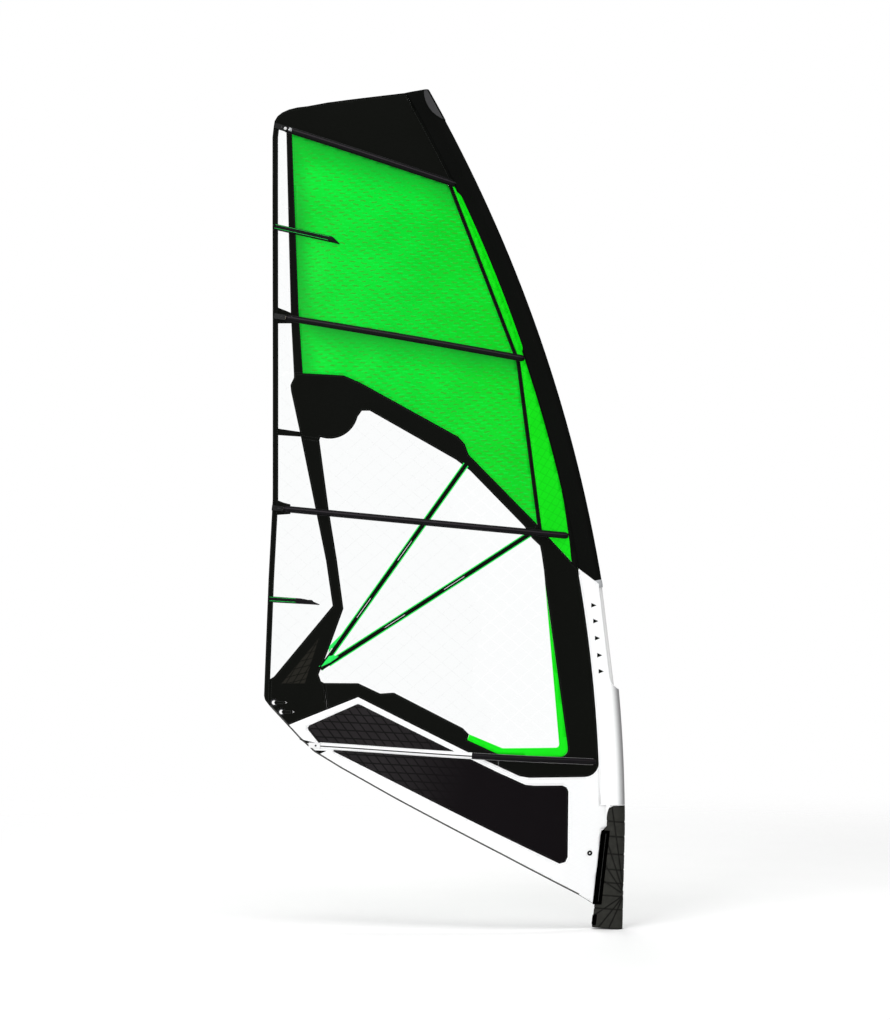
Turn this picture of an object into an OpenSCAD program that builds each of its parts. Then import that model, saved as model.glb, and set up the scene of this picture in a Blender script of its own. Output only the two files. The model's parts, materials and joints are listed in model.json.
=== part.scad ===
// Small wave windsurf sail, set on its mast.
// The origin is on the mast's axis at the bottom of the mast extension. +Z is up, +X is forward
// (the luff side) and +Y is athwartships. The belly of the sail is on the -Y side.
// Panels are drawn as flat [x, z] outlines and cut out of one cambered sheet.

/* [Mast and bend] */
// Radius of the mast's bend, in the plane of the sail
bend_r = 6000; // [5950:10:6050]
// Height at which the bend starts
bend_z = 450; // [430:5:470]
// Outer radius of the mast at its foot
mast_r = 19; // [18:0.5:19.5]
// Outer radius of the mast at its tip
mast_tip_r = 9.5; // [8:0.5:10]
// Inner radius of the mast's lower part
mast_bore_r = 16.2; // [16.1:0.05:16.3]
// Angle along the bend at the mast's tip
mast_tip_angle = 28.6; // [28:0.1:28.8]
// Angle along the bend where the two parts of the mast meet
mast_joint_angle = 12; // [11.5:0.1:12.2]

/* [Sheet] */
// Depth of the belly
belly_depth = 70; // [40:5:80]
// Thickness of a cloth or film panel
cloth_t = 0.8; // [0.6:0.1:0.9]
// Gap left between neighbouring panels
seam_gap = 0.6; // [0.4:0.1:1]
// Width of the leech tape
leech_tape_w = 22; // [18:1:26]
// Width of the black seam strip behind the luff
seam_strip_w = 16; // [12:1:18]
// Width of the diagonal straps
strap_w = 23; // [18:1:26]

/* [Battens] */
// Outer width of a batten pocket
pocket_w = 22; // [21:1:24]
// Outer height of a batten pocket
pocket_h = 8; // [7.8:0.1:8.5]
// Width of a batten
batten_w = 13; // [10:1:14]
// Thickness of a batten
batten_t = 3; // [2.5:0.1:3]
// Radius of a tensioner screw's shank
screw_r = 2.5; // [2:0.1:2.6]
// Length of a tensioner housing
housing_l = 46; // [44:1:48]

/* [Tack] */
// Outer radius of the extension tube
tube_r = 15.9; // [15.6:0.05:16]
// Radius of the mast base socket
socket_r = 6.5; // [6:0.5:8]
// Depth of the mast base socket
socket_depth = 36; // [30:1:40]
// Outer radius of a sheave
sheave_r = 13; // [12:0.5:13]
// Width of a sheave
sheave_w = 8; // [7:0.5:8]
// Radius of the downhaul line
line_r = 2; // [1.5:0.1:2]
// Wall of the tack fairing
fairing_wall = 3; // [2:0.5:3.5]

/* [Hidden] */

// Colours
black = "#111110";
green = "#00cd1e";
neon = "#0ae60f";
white = "#f8f8f8";
dark_grey = "#34323a";
clear = [0.9, 0.95, 0.97, 0.35];
steel = "silver";

// The bend's centre, and the arc of the sleeve's leading edge
bend_c = [-bend_r, bend_z];
luff_c = [-bend_r, bend_z - 28];
luff_r = bend_r + 26;
// How far behind the leading edge the panels start, and where the belly starts and ends
panel_start = 87;
belly_start = 60;
belly_chord = 1180;
belly_steps = 16;
belly_power = 1.5;
belly_peak = pow(belly_power / (belly_power + 2), belly_power) * pow(2 / (belly_power + 2), 2);
// The stretch of the bend that the sheet covers
sheet_start = -6;
sheet_end = 33;
deepest = 1500;
// Layers, as heights above the sheet
tape_lift = 1;
pocket_lift = 3.4;
pocket_wall = 0.8;
batten_lift = pocket_lift + pocket_h / 2 - batten_t / 2;
fine = 256;

// Batten lines, each from its leech end to its luff end
batten_lines = [
    [[-1369, 3237], [-652, 3011]],
    [[-1373, 2474], [-372, 2304]],
    [[-1385, 1700], [-197, 1587.5]],
    [[-1236, 740], [-86, 673]]
];
mini_lines = [
    [[-1373, 2832], [-1110, 2772]],
    [[-1398, 1330], [-1195, 1319]]
];

// Edges shared by neighbouring panels, as [x, z] points
leech_line = [
    [-1420, 905], [-1420, 940], [-1402, 1408], [-1385, 1733], [-1381, 2460], [-1382, 3191],
    [-1377, 3233]
];
clew_corner = [[-1407, 911], [-1416, 923]];
head_line = concat(
    curved([-1377, 3233], [-1378, 3305], [-1240, 3316]), [[-1162, 3332], [-939, 3365], [-753, 3391]]
);
foot_line = [
    [-86, 97], [-148, 136], [-465, 306], [-883, 523], [-1109, 647], [-1216, 712], [-1275, 766],
    [-1324, 819], [-1398, 899]
];
inner_left = [[-1298, 2243], [-1310, 2488], [-1327, 3260]];
inner_right = [[-1262, 2243], [-1278, 2488], [-1306, 3260]];
seam_left = [[-310, 1590], [-400, 2290], [-436, 2383], [-675, 3003]];
arch_top = [
    [-1298, 2243], [-1262, 2243], [-1096, 2233], [-1031, 2205], [-635, 1986], [-608, 1956],
    [-592, 1913], [-317, 1634]
];
arch_bottom = [[-368, 1626], [-586, 1849], [-643, 1893], [-991, 2091], [-1023, 2091], [-1043, 2063]];
boss_c = [-1153, 2095];
boss_r = 116;
arm_left = [[-1395, 1008], [-1380, 1017], [-1142, 1304], [-1169, 1488], [-1270, 1986]];
arm_right = [[-1195, 1974], [-1157, 1691], [-1124, 1488], [-1098, 1293], [-1153, 1142], [-1199, 1026]];
band_top = [
    [-1177, 991], [-1039, 991], [-950, 950], [-926, 952], [-894, 954], [-616, 813], [-592, 788]
];
band_bottom = [[-1324, 818], [-1039, 934], [-580, 708], [-465, 655], [-388, 619], [-349, 612]];
trim_tip = [-284, 1395];
trim_inner = concat([[-590, 788], [-457, 732]], rounded([-457, 732], [-226, 732], trim_tip, 14), [trim_tip]);
trim_corner = rounded(trim_tip, [-187, 693], [-473, 708], 32);
trim_outer = concat(trim_corner, [[-473, 708], [-598, 766]]);
strap_root = [-1193, 1047];
strap_ends = [[-612, 1862], [-350, 1592]];
luff_corner = concat(rounded([-140, 612], [-65, 612], [-65, 700], 58), [[-65, 700]]);
neon_tail = [[-279, 1592], [-144.5, 1448]];
// The window's front edge, from the trim up to where the arch panel meets the batten pocket
luff_root = [[-289, 1448], [-299, 1517], [-305, 1547], [-338, 1578], arch_bottom[0]];
head_edge = [[-939, 3365], [-753, 3391]];
// The slanted line where the black sleeve meets the white one
sleeve_split = [[-141, 1448], [-47, 1376]];
// Sleeve sections: the radius of the rounded nose, and where the sleeve ends behind the leading edge
upper_nose = 23;
lower_nose = 27;
lower_front = -13;
sleeve_tail = 86;
// The stretch of the bend where the mast is straight, for the boom's clamp
boom_start = 4.9;
boom_end = 8.9;
boom_r = mast_r + 0.4;
mast_wall = 2.8;
mast_foot_z = 140;
// Tensioners: the screw's axis height, where the housing's middle is, and its size outside and inside
screw_lift = pocket_lift + pocket_h / 2;
housing_mid = 20;
housing_w = 21;
housing_h = 10;
chamber_start = 10;
chamber_h = 8.4;
running_gap = 0.05;
// The nut on a batten's end, and the screw's head and hexagon socket
nut_l = 17;
nut_w = 12;
nut_h = 7;
nut_start = 14;
nut_bore = 14.5;
shank_end = 23.5;
screw_head_r = 4;
screw_head_h = 3.9;
hexagon_r = 1.7;
// Tack blocks: the sheaves' places in [x, z], and their spacing across the boat
tack_sheave_c = [-40, 250];
extension_sheave_c = [-40, 62];
sheave_y = sheave_w / 2 + 0.5;
axle_r = 3;
cheek_t = 1.6;
// Extension: its base block, the plug in the tube, and the tube's bottom, length and wall
base_r = 25;
base_h = 40;
plug_h = 70;
arm_reach = 50;
arm_w = 21.2;
tube_z = 41;
tube_l = 389;
tube_wall = 2;
// Collar and button
collar_r = 24;
collar_z = 114;
collar_h = 24;
button_r = 4;
button_l = 5.5;
button_x = 20.5;
// Fairing: each level is [height, aft end, front end]
fairing_levels = [[-2, -95, 30], [400, -48, 40], [496, -34, 41]];
fairing_nose = 30;
fairing_tail = 16;
// The fairing steps forward above its flap, by this much
fairing_step = 16;
// Flap: how far forward it reaches, its bottom and top, its thickness, and where its hinge edge is
flap_w = 27;
flap_bottom = 97;
flap_top = 396;
flap_gap = 0.4;
flap_t = 3;
flap_hinge_y = 10.5;
clew_holes = [[-1380, 912], [-1350, 874]];
clew_hole_r = 8.5;
foot_hole = [-103, 304];
foot_hole_r = 3;
// Eyelets: the wall round the hole, the cloth hole's clearance, and the heights of the two flanges
eyelet_neck = 2;
eyelet_clearance = 2.4;
eyelet_back = -1.8;
groove_back = -0.75;
groove_front = 1.55;
eyelet_front = 2.6;

// ---- helpers ----

// Height of the belly at distance d behind the leading edge
function belly(d) =
    let (t = min(max((d - belly_start) / belly_chord, 0), 1))
    belly_depth / belly_peak * pow(t, belly_power) * pow(1 - t, 2);
// Distance of a point [x, z] behind the leading edge
function behind_luff(p) = luff_r - norm(p - luff_c);
// The belly's height at a point [x, z], and its rise in degrees along a batten line
function height_at(p) = belly(behind_luff(p));
function rise_along(line, span) =
    let (way = (line[1] - line[0]) / norm(line[1] - line[0]))
    atan((height_at(line[0] + way * span) - height_at(line[0])) / span);
function line_angle(line) = atan2(line[1][1] - line[0][1], line[1][0] - line[0][0]);
function shifted(points, dx, dz) = [for (p = points) p + [dx, dz]];
function reversed(points) = [for (i = [len(points) - 1:-1:0]) points[i]];
// A smooth bend from a, pulled towards a control point, to b; a itself is left out
function curved(a, control, b, steps = 6) =
    [for (t = [1 / steps:1 / steps:1.001]) (1 - t) * (1 - t) * a + 2 * t * (1 - t) * control + t * t * b];
// Corner p rounded to a radius, on the way from a to b; a and b set the directions only
function rounded(a, p, b, radius, steps = 5) =
    let (
        before = (a - p) / norm(a - p), after = (b - p) / norm(b - p), half = acos(before * after) / 2,
        middle = p + (before + after) / norm(before + after) * radius / sin(half),
        start = p + before * radius / tan(half) - middle, end = p + after * radius / tan(half) - middle,
        sweep = 180 - 2 * half
    )
    [for (i = [0:steps])
        middle + (start * sin(sweep * (steps - i) / steps) + end * sin(sweep * i / steps)) / sin(sweep)];

// Stands a flat [x, z] drawing up, so that its height points to -Y
module upright() {
    rotate([90, 0, 0]) children();
}

// The cambered sheet, lifted and thickened
module sheet(lift, thickness) {
    steps = [for (i = [0:belly_steps]) belly_start + i * belly_chord / belly_steps];
    distances = concat([-60], steps, [deepest]);
    translate(luff_c)
        rotate([0, 0, sheet_start])
            rotate_extrude(angle = sheet_end - sheet_start, $fn = fine)
                polygon(concat(
                    [for (d = distances) [luff_r - d, belly(d) + lift]],
                    [for (d = reversed(distances)) [luff_r - d, belly(d) + lift + thickness]]
                ));
}

// Cuts the outline drawn by the children out of the sheet
module panel(lift = 0, thickness = cloth_t) {
    upright()
        intersection() {
            sheet(lift, thickness);
            translate([0, 0, -10]) linear_extrude(belly_depth + 40) children();
        }
}

// Everything further than d behind the leading edge, as one chord for each degree of the bend
module behind(d) {
    polygon(concat(
        [[-2000, -200]],
        [for (a = [sheet_start:sheet_end + 1]) luff_c + (luff_r - d) * [cos(a), sin(a)]],
        [[-2000, 3600]]
    ));
}

// The whole sail behind the sleeve
module sail_outline() {
    intersection() {
        polygon(concat(
            clew_corner, [for (i = [1:len(leech_line) - 1]) leech_line[i]], head_line,
            [[100, 2800], [100, 97]], foot_line
        ));
        behind(panel_start);
    }
}

// Everything above, or below, the line through two points
module above(line, gap = 0) {
    side_of(line, gap, 4000);
}
module below(line, gap = 0) {
    side_of(line, -gap, -4000);
}
module side_of(line, gap, reach) {
    translate(line[0])
        rotate(line_angle(line))
            translate([-2000, min(gap, gap + reach)])
                square([5000, abs(reach)]);
}

// Everything forward of, or aft of, a line of points that runs upwards
module forward_of(points, gap = 0, top = 0) {
    side_of_points(shifted(points, gap, 0), top, 500);
}
module aft_of(points, gap = 0, top = 0) {
    side_of_points(shifted(points, -gap, 0), top, -2000);
}
module side_of_points(points, top, far_x) {
    last = points[len(points) - 1];
    ceiling = max(top, last[1]);
    polygon(concat(points, [[last[0], ceiling], [far_x, ceiling], [far_x, points[0][1]]]));
}

// A straight strip of a width along a line, its ends moved forward by start and end
module strip(line, width, start = 0, end = 0) {
    span = norm(line[1] - line[0]);
    translate(line[0])
        rotate(line_angle(line))
            translate([start, -width / 2])
                square([span + end - start, width]);
}

// A teardrop ring around the mast, as a profile of [distance behind the luff, height] points
module sleeve_profile(nose, front, tail) {
    reach = tail - nose - front;
    half_angle = acos(nose / reach);
    sweep = 180 - half_angle;
    polygon([
        for (i = [0:20]) [front + nose, 0] + nose * [-cos(sweep * (i / 10 - 1)), sin(sweep * (i / 10 - 1))],
        [tail, 0]
    ]);
}
module sleeve_ring(nose, front, tail, wall = cloth_t) {
    difference() {
        sleeve_profile(nose, front, tail);
        sleeve_profile(nose - wall, front + wall, tail - 3 * wall);
    }
}

// Stretches a flat [x, z] drawing right through the sail
module prism() {
    translate([0, 0, -200]) linear_extrude(500) children();
}

// Revolves a sleeve profile along the bend
module sleeve_along_bend(start_angle, end_angle) {
    translate(luff_c)
        rotate([0, 0, start_angle])
            rotate_extrude(angle = end_angle - start_angle, $fn = fine)
                translate([luff_r, 0]) mirror([1, 0]) children();
}

// ---- cloth ----

module head_panel() {
    color(black) panel() intersection() {
        sail_outline();
        above(batten_lines[0], -pocket_w / 2);
    }
}

module head_patch() {
    color(dark_grey) upright()
        intersection() {
            sleeve_along_bend(27, 31)
                sleeve_ring(upper_nose + 1.5, -1.5, sleeve_tail + 3, 1);
            prism() intersection() {
                below(head_edge);
                translate([-650, 3385]) circle(125, $fn = 90);
            }
        }
}

module body_band() {
    intersection() {
        forward_of(inner_right, seam_gap);
        aft_of(seam_left, seam_gap, 3260);
        sail_outline();
    }
}

module upper_body_panel() {
    color(green) panel() intersection() {
        body_band();
        below(batten_lines[0], pocket_w / 2 + seam_gap);
        above(batten_lines[1], seam_gap);
    }
}

module lower_body_panel() {
    color(green) panel() intersection() {
        forward_of(concat([[-1262, 1600]], inner_right), seam_gap);
        aft_of(seam_left, seam_gap);
        below(batten_lines[1]);
        polygon(concat(shifted(arch_top, 0, seam_gap), [[-200, 1700], [-200, 2600], [-1298, 2600]]));
    }
}

module body_seam_strip() {
    color(black) panel() intersection() {
        forward_of(seam_left);
        aft_of(shifted(seam_left, seam_strip_w, 0));
        below(batten_lines[0], pocket_w / 2 + seam_gap);
        above(batten_lines[2], pocket_w / 2 + 2 * seam_gap);
    }
}

module luff_band() {
    intersection() {
        forward_of(concat([neon_tail[1]], shifted(seam_left, seam_strip_w, 0)), seam_gap);
        behind(panel_start);
    }
}

module upper_luff_strip() {
    color(neon) panel() intersection() {
        luff_band();
        below(batten_lines[0], pocket_w / 2 + seam_gap);
        above(batten_lines[1], seam_gap);
    }
}

module lower_luff_strip() {
    color(neon) panel() intersection() {
        luff_band();
        below(batten_lines[1]);
        above([neon_tail[0], neon_tail[1]]);
    }
}

module arch_outline() {
    difference() {
        union() {
            polygon(concat(
                reversed(arch_top),
                [[-1298, 2225], [-1312, 2196], [-1310, 2172], [-1270, 1986], [-1195, 1974], boss_c],
                reversed(arch_bottom), [luff_root[3] + [seam_gap, 0], [-317, 1577]]
            ));
            translate(boss_c) circle(boss_r, $fn = 90);
        }
        polygon([[-1298, 2244], [-1262, 2244], [-1096, 2234], [-1096, 2400], [-1298, 2400]]);
    }
}

module arch_panel() {
    color(black) panel() intersection() {
        arch_outline();
        above(batten_lines[2], pocket_w / 2 + seam_gap);
    }
}

module window_outline() {
    difference() {
        polygon(concat(
            shifted(arm_right, seam_gap, 0),
            shifted([for (i = [0:len(band_top) - 2]) band_top[i]], 0, seam_gap),
            shifted(trim_inner, -seam_gap, seam_gap),
            luff_root, [[-595, 1885], [-640, 1940], [-1000, 2140], boss_c]
        ));
        translate([0, -seam_gap]) arch_outline();
    }
}

module upper_window() {
    color(clear) panel() intersection() {
        window_outline();
        above(batten_lines[2]);
    }
}

module lower_window() {
    color(clear) panel() intersection() {
        window_outline();
        below(batten_lines[2], seam_gap);
    }
}

module leech_tape() {
    color(black) panel(-cloth_t / 2, 2 * cloth_t) intersection() {
        sail_outline();
        aft_of(leech_line, -leech_tape_w);
        below(batten_lines[0], pocket_w / 2 + seam_gap);
    }
}

// Everything between the leech tape and a line of points that runs upwards
module leech_strip(points) {
    intersection() {
        sail_outline();
        forward_of(leech_line, leech_tape_w + seam_gap);
        aft_of(points, seam_gap);
        below(batten_lines[0], pocket_w / 2 + seam_gap);
    }
}

module upper_leech_window() {
    color(clear) panel() leech_strip(inner_left);
}

module lower_leech_window() {
    color(clear) panel()
        leech_strip(concat(arm_left, [[-1310, 2172], [-1312, 2196], [-1298, 2225], [-1298, 2242]]));
}

module inner_leech_tape() {
    color(black) panel() intersection() {
        forward_of(shifted(inner_left, 0, seam_gap));
        aft_of(shifted(inner_right, 0, seam_gap));
        below(batten_lines[0], pocket_w / 2 + seam_gap);
    }
}

module clew_arm() {
    color(black) panel() difference() {
        intersection() {
            polygon(concat(
                shifted(arm_left, 0, -seam_gap), shifted(arm_right, -seam_gap, -seam_gap),
                [[-1190, 998], band_top[0], [-1165, 884], [-1324, 820], [-1450, 820], [-1450, 1008]]
            ));
            sail_outline();
        }
        aft_of(leech_line, -leech_tape_w - seam_gap);
        for (p = clew_holes) translate(p) circle(clew_hole_r + eyelet_clearance, $fn = 72);
    }
}

module black_foot_band() {
    color(black) panel() polygon(concat(
        [band_top[0] + [seam_gap, 0]], [for (i = [1:len(band_top) - 1]) band_top[i]],
        [[-598 - seam_gap, 766], [-474, 708], [-474, 660]],
        [band_bottom[2] + [0, seam_gap], band_bottom[1] + [0, seam_gap], [-1164, 884]]
    ));
}

module window_trim() {
    color(neon) panel() polygon(concat(trim_inner, trim_outer));
}

module luff_panel() {
    color(black) panel() difference() {
        intersection() {
            polygon(concat(
                [[-473, 660]], [[-465, 655.6], [-388, 619.6], [-349, 612.6]],
                luff_corner, [[0, 700], [0, 1640]], shifted(reversed(luff_root), seam_gap, 0),
                [trim_tip + [seam_gap, 0]],
                shifted(trim_corner, seam_gap, -seam_gap), [[-473, 708 - seam_gap]]
            ));
            behind(panel_start);
            below(batten_lines[2], -pocket_w / 2);
        }
        above([neon_tail[0], neon_tail[1]], -seam_gap);
    }
}

module diagonal_straps() {
    color(black) panel(tape_lift) intersection() {
        for (end = strap_ends) strip([strap_root, end], strap_w);
        window_outline();
    }
}

module leech_cross_strap() {
    color(black) panel(tape_lift) polygon([[-1358, 2019], [-1274, 2006], [-1274, 1988], [-1358, 1995]]);
}

module upper_foot_outline(gap = 0) {
    polygon([
        [-1052, 902 + gap], [-1040, 907 + gap], [-1026, 902 + gap], [-650 + gap, 719], [-650, 718 - gap],
        [-1200 - gap, 750 - gap], [-1240 - gap, 800], [-1243 - gap, 810], [-1236 - gap, 820 + gap]
    ]);
}

module lower_foot_outline(gap = 0) {
    polygon([
        [-1138 - gap, 721 + gap], [-586, 689 + gap], [-465, 630 + gap], [-440, 619 + gap],
        [-364, 584 + gap], [-330, 580 + gap], [-215, 579 + gap], [-197, 571 + gap], [-190 + gap, 555],
        [-193 + gap, 290], [-203 + gap, 270 - gap], [-226, 264 - gap], [-1138 - gap, 714 - gap]
    ]);
}

module upper_foot_panel() {
    color(dark_grey) panel() upper_foot_outline();
}

module lower_foot_panel() {
    color(dark_grey) panel() lower_foot_outline();
}

module white_foot_panel() {
    color(white) panel() difference() {
        intersection() {
            polygon(concat(
                shifted(band_bottom, 0, -seam_gap), shifted(luff_corner, seam_gap, -seam_gap),
                [[-36, 699], [-36, 404], [-55, 400]], [for (i = [0:6]) foot_line[i]]
            ));
            union() {
                behind(panel_start);
                translate([-400, 0]) square([400, fairing_levels[2][0]]);
            }
        }
        upper_foot_outline(seam_gap);
        lower_foot_outline(seam_gap);
        translate(foot_hole) circle(foot_hole_r + eyelet_clearance, $fn = 72);
    }
}

module upper_luff_sleeve() {
    color(black) upright()
        intersection() {
            sleeve_along_bend(8, 31) sleeve_ring(upper_nose, 0, sleeve_tail);
            prism() intersection() {
                above(sleeve_split, seam_gap);
                below(head_edge);
            }
        }
}

module lower_luff_sleeve() {
    color(white) upright()
        intersection() {
            sleeve_along_bend(0.5, 11) sleeve_ring(lower_nose, lower_front, sleeve_tail);
            prism() difference() {
                intersection() {
                    below(sleeve_split);
                    translate([-400, fairing_levels[2][0] + 3]) square(1200);
                }
                boom_cutout();
            }
        }
}

// The opening where the boom clamps on the mast
module boom_cutout() {
    polygon([
        [80, 955], [12, 967], [-14, 987], [-24, 1012], [-30, 1061], [-67, 1376], [-67, 1500], [80, 1500]
    ]);
}

// ---- battens ----

module pocket(k) {
    line = batten_lines[k];
    start = housing_mid + housing_l / 2 + 0.5;
    difference() {
        panel(pocket_lift, pocket_h) strip(line, pocket_w, start);
        panel(pocket_lift + pocket_wall, pocket_h - 2 * pocket_wall)
            strip(line, batten_w + 4, start - 1, -8);
    }
}

module batten_pocket_1() {
    color(black) pocket(0);
}
module batten_pocket_2() {
    color(black) pocket(1);
}
module batten_pocket_3() {
    color(black) pocket(2);
}
module batten_pocket_4() {
    color(white) pocket(3);
}

// Moves to the axis of a tensioner: +X runs forward along the batten, and +Z is away from the sheet
module at_tensioner(k) {
    line = batten_lines[k];
    mid = line[0] + (line[1] - line[0]) / norm(line[1] - line[0]) * housing_mid;
    upright()
        translate([mid[0], mid[1], height_at(mid)])
            rotate([0, -rise_along([mid, line[1]], 5), line_angle(line)])
                translate([-housing_mid, 0, screw_lift])
                    children();
}

// A batten with the nut that its tensioner screw drives
module batten(k) {
    union() {
        panel(batten_lift, batten_t) strip(batten_lines[k], batten_w, nut_start + nut_l - 2, -14);
        at_tensioner(k) difference() {
            translate([nut_start, -nut_w / 2, -nut_h / 2]) cube([nut_l, nut_w, nut_h]);
            translate([nut_start - 1, 0, 0]) rotate([0, 90, 0])
                cylinder(nut_bore, screw_r + running_gap, screw_r + running_gap, $fn = 48);
        }
    }
}

module batten_1() {
    color("#d8d4c4") batten(0);
}
module batten_2() {
    color("#d8d4c4") batten(1);
}
module batten_3() {
    color("#d8d4c4") batten(2);
}
module batten_4() {
    color("#d8d4c4") batten(3);
}

module tensioner_housings() {
    color("#202020") for (k = [0:3]) at_tensioner(k)
        difference() {
            translate([housing_mid - housing_l / 2, -housing_w / 2, -housing_h / 2])
                cube([housing_l, housing_w, housing_h]);
            translate([chamber_start, -batten_w / 2 - 1, -chamber_h / 2])
                cube([housing_l, batten_w + 2, chamber_h]);
            translate([-10, 0, 0]) rotate([0, 90, 0])
                cylinder(30, screw_r + running_gap, screw_r + running_gap, $fn = 48);
            translate([-10, 0, 0]) rotate([0, 90, 0])
                cylinder(13, screw_head_r + 0.1, screw_head_r + 0.1, $fn = 48);
        }
}

module tensioner_screw(k) {
    at_tensioner(k) rotate([0, 90, 0]) difference() {
        union() {
            translate([0, 0, -1]) cylinder(screw_head_h, screw_head_r, screw_head_r, $fn = 48);
            cylinder(shank_end, screw_r, screw_r, $fn = 48);
        }
        translate([0, 0, -2]) cylinder(3.5, hexagon_r, hexagon_r, $fn = 6);
    }
}

module tensioner_screw_1() {
    color(steel) tensioner_screw(0);
}
module tensioner_screw_2() {
    color(steel) tensioner_screw(1);
}
module tensioner_screw_3() {
    color(steel) tensioner_screw(2);
}
module tensioner_screw_4() {
    color(steel) tensioner_screw(3);
}

// A flat strip with a point at its luff end
module pointed_strip(line, width, start = 0, end = 0) {
    span = norm(line[1] - line[0]);
    translate(line[0])
        rotate(line_angle(line))
            polygon([
                [start, -width / 2], [span + end, -width / 2], [span + end - width, width / 2],
                [start, width / 2]
            ]);
}

module mini_batten_pockets() {
    color(black) for (line = mini_lines) difference() {
        panel(pocket_lift, 5.6) pointed_strip(line, pocket_w);
        panel(pocket_lift + pocket_wall, 4) pointed_strip(line, pocket_w - 5, 4, -10);
    }
}

module mini_battens() {
    color("#d8d4c4") for (line = mini_lines)
        panel(pocket_lift + pocket_wall + 1, 2) pointed_strip(line, pocket_w - 9, 8, -18);
}

// ---- eyelets ----

// A pressed ring with a flange on each face of the cloth
module eyelet(p, hole_r, flange) {
    steepness = (belly(behind_luff(p) + 2) - belly(behind_luff(p) - 2)) / 4;
    upright()
        translate([p[0], p[1], height_at(p)])
            rotate([0, atan(steepness), atan2(p[1] - luff_c[1], p[0] - luff_c[0])])
                rotate_extrude($fn = 72)
                    polygon([
                        [hole_r, eyelet_back], [hole_r + flange, eyelet_back],
                        [hole_r + flange, groove_back], [hole_r + eyelet_neck, groove_back],
                        [hole_r + eyelet_neck, groove_front], [hole_r + flange, groove_front],
                        [hole_r + flange, eyelet_front], [hole_r, eyelet_front]
                    ]);
}

module clew_eyelets() {
    color(steel) for (p = clew_holes) eyelet(p, clew_hole_r, 4.5);
}

module foot_eyelet() {
    color("#202020") eyelet(foot_hole, foot_hole_r, 5);
}

// ---- tack ----

// A closed body around the tack, grown or shrunk from the fairing's outer face
module fairing_body(low, high, grow, over = 0) {
    hull() for (level = [low, high]) {
        end = level == low ? -over : over;
        for (spot = [[level[1] + fairing_tail, fairing_tail], [level[2] - fairing_nose, fairing_nose]])
            translate([spot[0], 0, level[0] + end - 0.1])
                cylinder(0.2, spot[1] + grow, spot[1] + grow, $fn = 48);
    }
}

module tack_fairing() {
    color("#2d2d2a") difference() {
        union() {
            fairing_body(fairing_levels[0], fairing_levels[1], 0);
            fairing_body(fairing_levels[1] + [-1, fairing_step, 0], fairing_levels[2], 0);
        }
        fairing_body(fairing_levels[0], fairing_levels[1] - [fairing_wall, 0, 0], -fairing_wall, 2);
        fairing_body(fairing_levels[1] + [-20, fairing_step, 0], fairing_levels[2], -fairing_wall, 2);
    }
}

// Aft edge of the fairing at a height
function fairing_aft(z) =
    fairing_levels[0][1] + (fairing_levels[1][1] - fairing_levels[0][1])
        * (z - fairing_levels[0][0]) / (fairing_levels[1][0] - fairing_levels[0][0]);

module fairing_flap() {
    color(black) intersection() {
        difference() {
            fairing_body(fairing_levels[0], fairing_levels[1], flap_t);
            fairing_body(fairing_levels[0], fairing_levels[1], flap_gap, 2);
        }
        upright() translate([0, 0, flap_hinge_y]) linear_extrude(60) polygon([
            [fairing_aft(flap_bottom) - 4, flap_bottom], [fairing_aft(flap_bottom) + flap_w, flap_bottom],
            [fairing_aft(flap_top) + flap_w, flap_top], [fairing_aft(flap_top) - 4, flap_top]
        ]);
    }
}

// ---- mast ----

// A point of the mast's bend at an angle along it
function bend_at(a) = bend_c + bend_r * [cos(a), sin(a)];

// A round bar along the bend
module bent_bar(r, a1, a2) {
    translate(bend_c) rotate([0, 0, a1])
        rotate_extrude(angle = a2 - a1, $fn = fine) translate([bend_r, 0]) circle(r, $fn = 72);
}

// A straight round bar between two angles of the bend
module chord_bar(r, a1, a2, over = 0) {
    p = bend_at(a1);
    q = bend_at(a2);
    translate([p[0], p[1], 0]) rotate([0, 0, atan2(q[1] - p[1], q[0] - p[0])])
        translate([-over, 0, 0]) rotate([0, 90, 0]) cylinder(norm(q - p) + 2 * over, r, r, $fn = 72);
}

module mast_bottom() {
    color("#e9e9e6") difference() {
        union() {
            translate([0, 0, mast_foot_z]) cylinder(bend_z - mast_foot_z, mast_r, mast_r, $fn = 72);
            upright() {
                bent_bar(mast_r, 0, boom_start);
                chord_bar(boom_r, boom_start, boom_end, 2);
                bent_bar(mast_r, boom_end, mast_joint_angle);
            }
        }
        translate([0, 0, mast_foot_z - 1])
            cylinder(bend_z - mast_foot_z + 1, mast_bore_r, mast_bore_r, $fn = 72);
        upright() {
            bent_bar(mast_bore_r, 0, boom_start + 0.01);
            chord_bar(mast_bore_r - 0.3, boom_start, boom_end, 4);
            bent_bar(mast_bore_r, boom_end - 0.01, mast_joint_angle + 0.05);
        }
    }
}

// The mast's outer radius at an angle in its upper part
function top_r(a) =
    mast_r + (mast_tip_r - mast_r) * (a - mast_joint_angle) / (mast_tip_angle - mast_joint_angle);

module taper(a1, a2, thinner, steps) {
    for (i = [0:steps - 1])
        hull() for (j = [i, i + 1]) {
            a = a1 + (a2 - a1) * j / steps;
            p = bend_at(a);
            translate([p[0], p[1], 0]) rotate([-90, 0, a]) translate([0, 0, -0.1])
                cylinder(0.2, top_r(a) - thinner, top_r(a) - thinner, $fn = 24);
        }
}

module mast_top() {
    color("#e9e9e6") upright() difference() {
        taper(mast_joint_angle + 0.02, mast_tip_angle, 0, 7);
        taper(mast_joint_angle, mast_tip_angle - 0.4, mast_wall, 7);
    }
}

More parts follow.
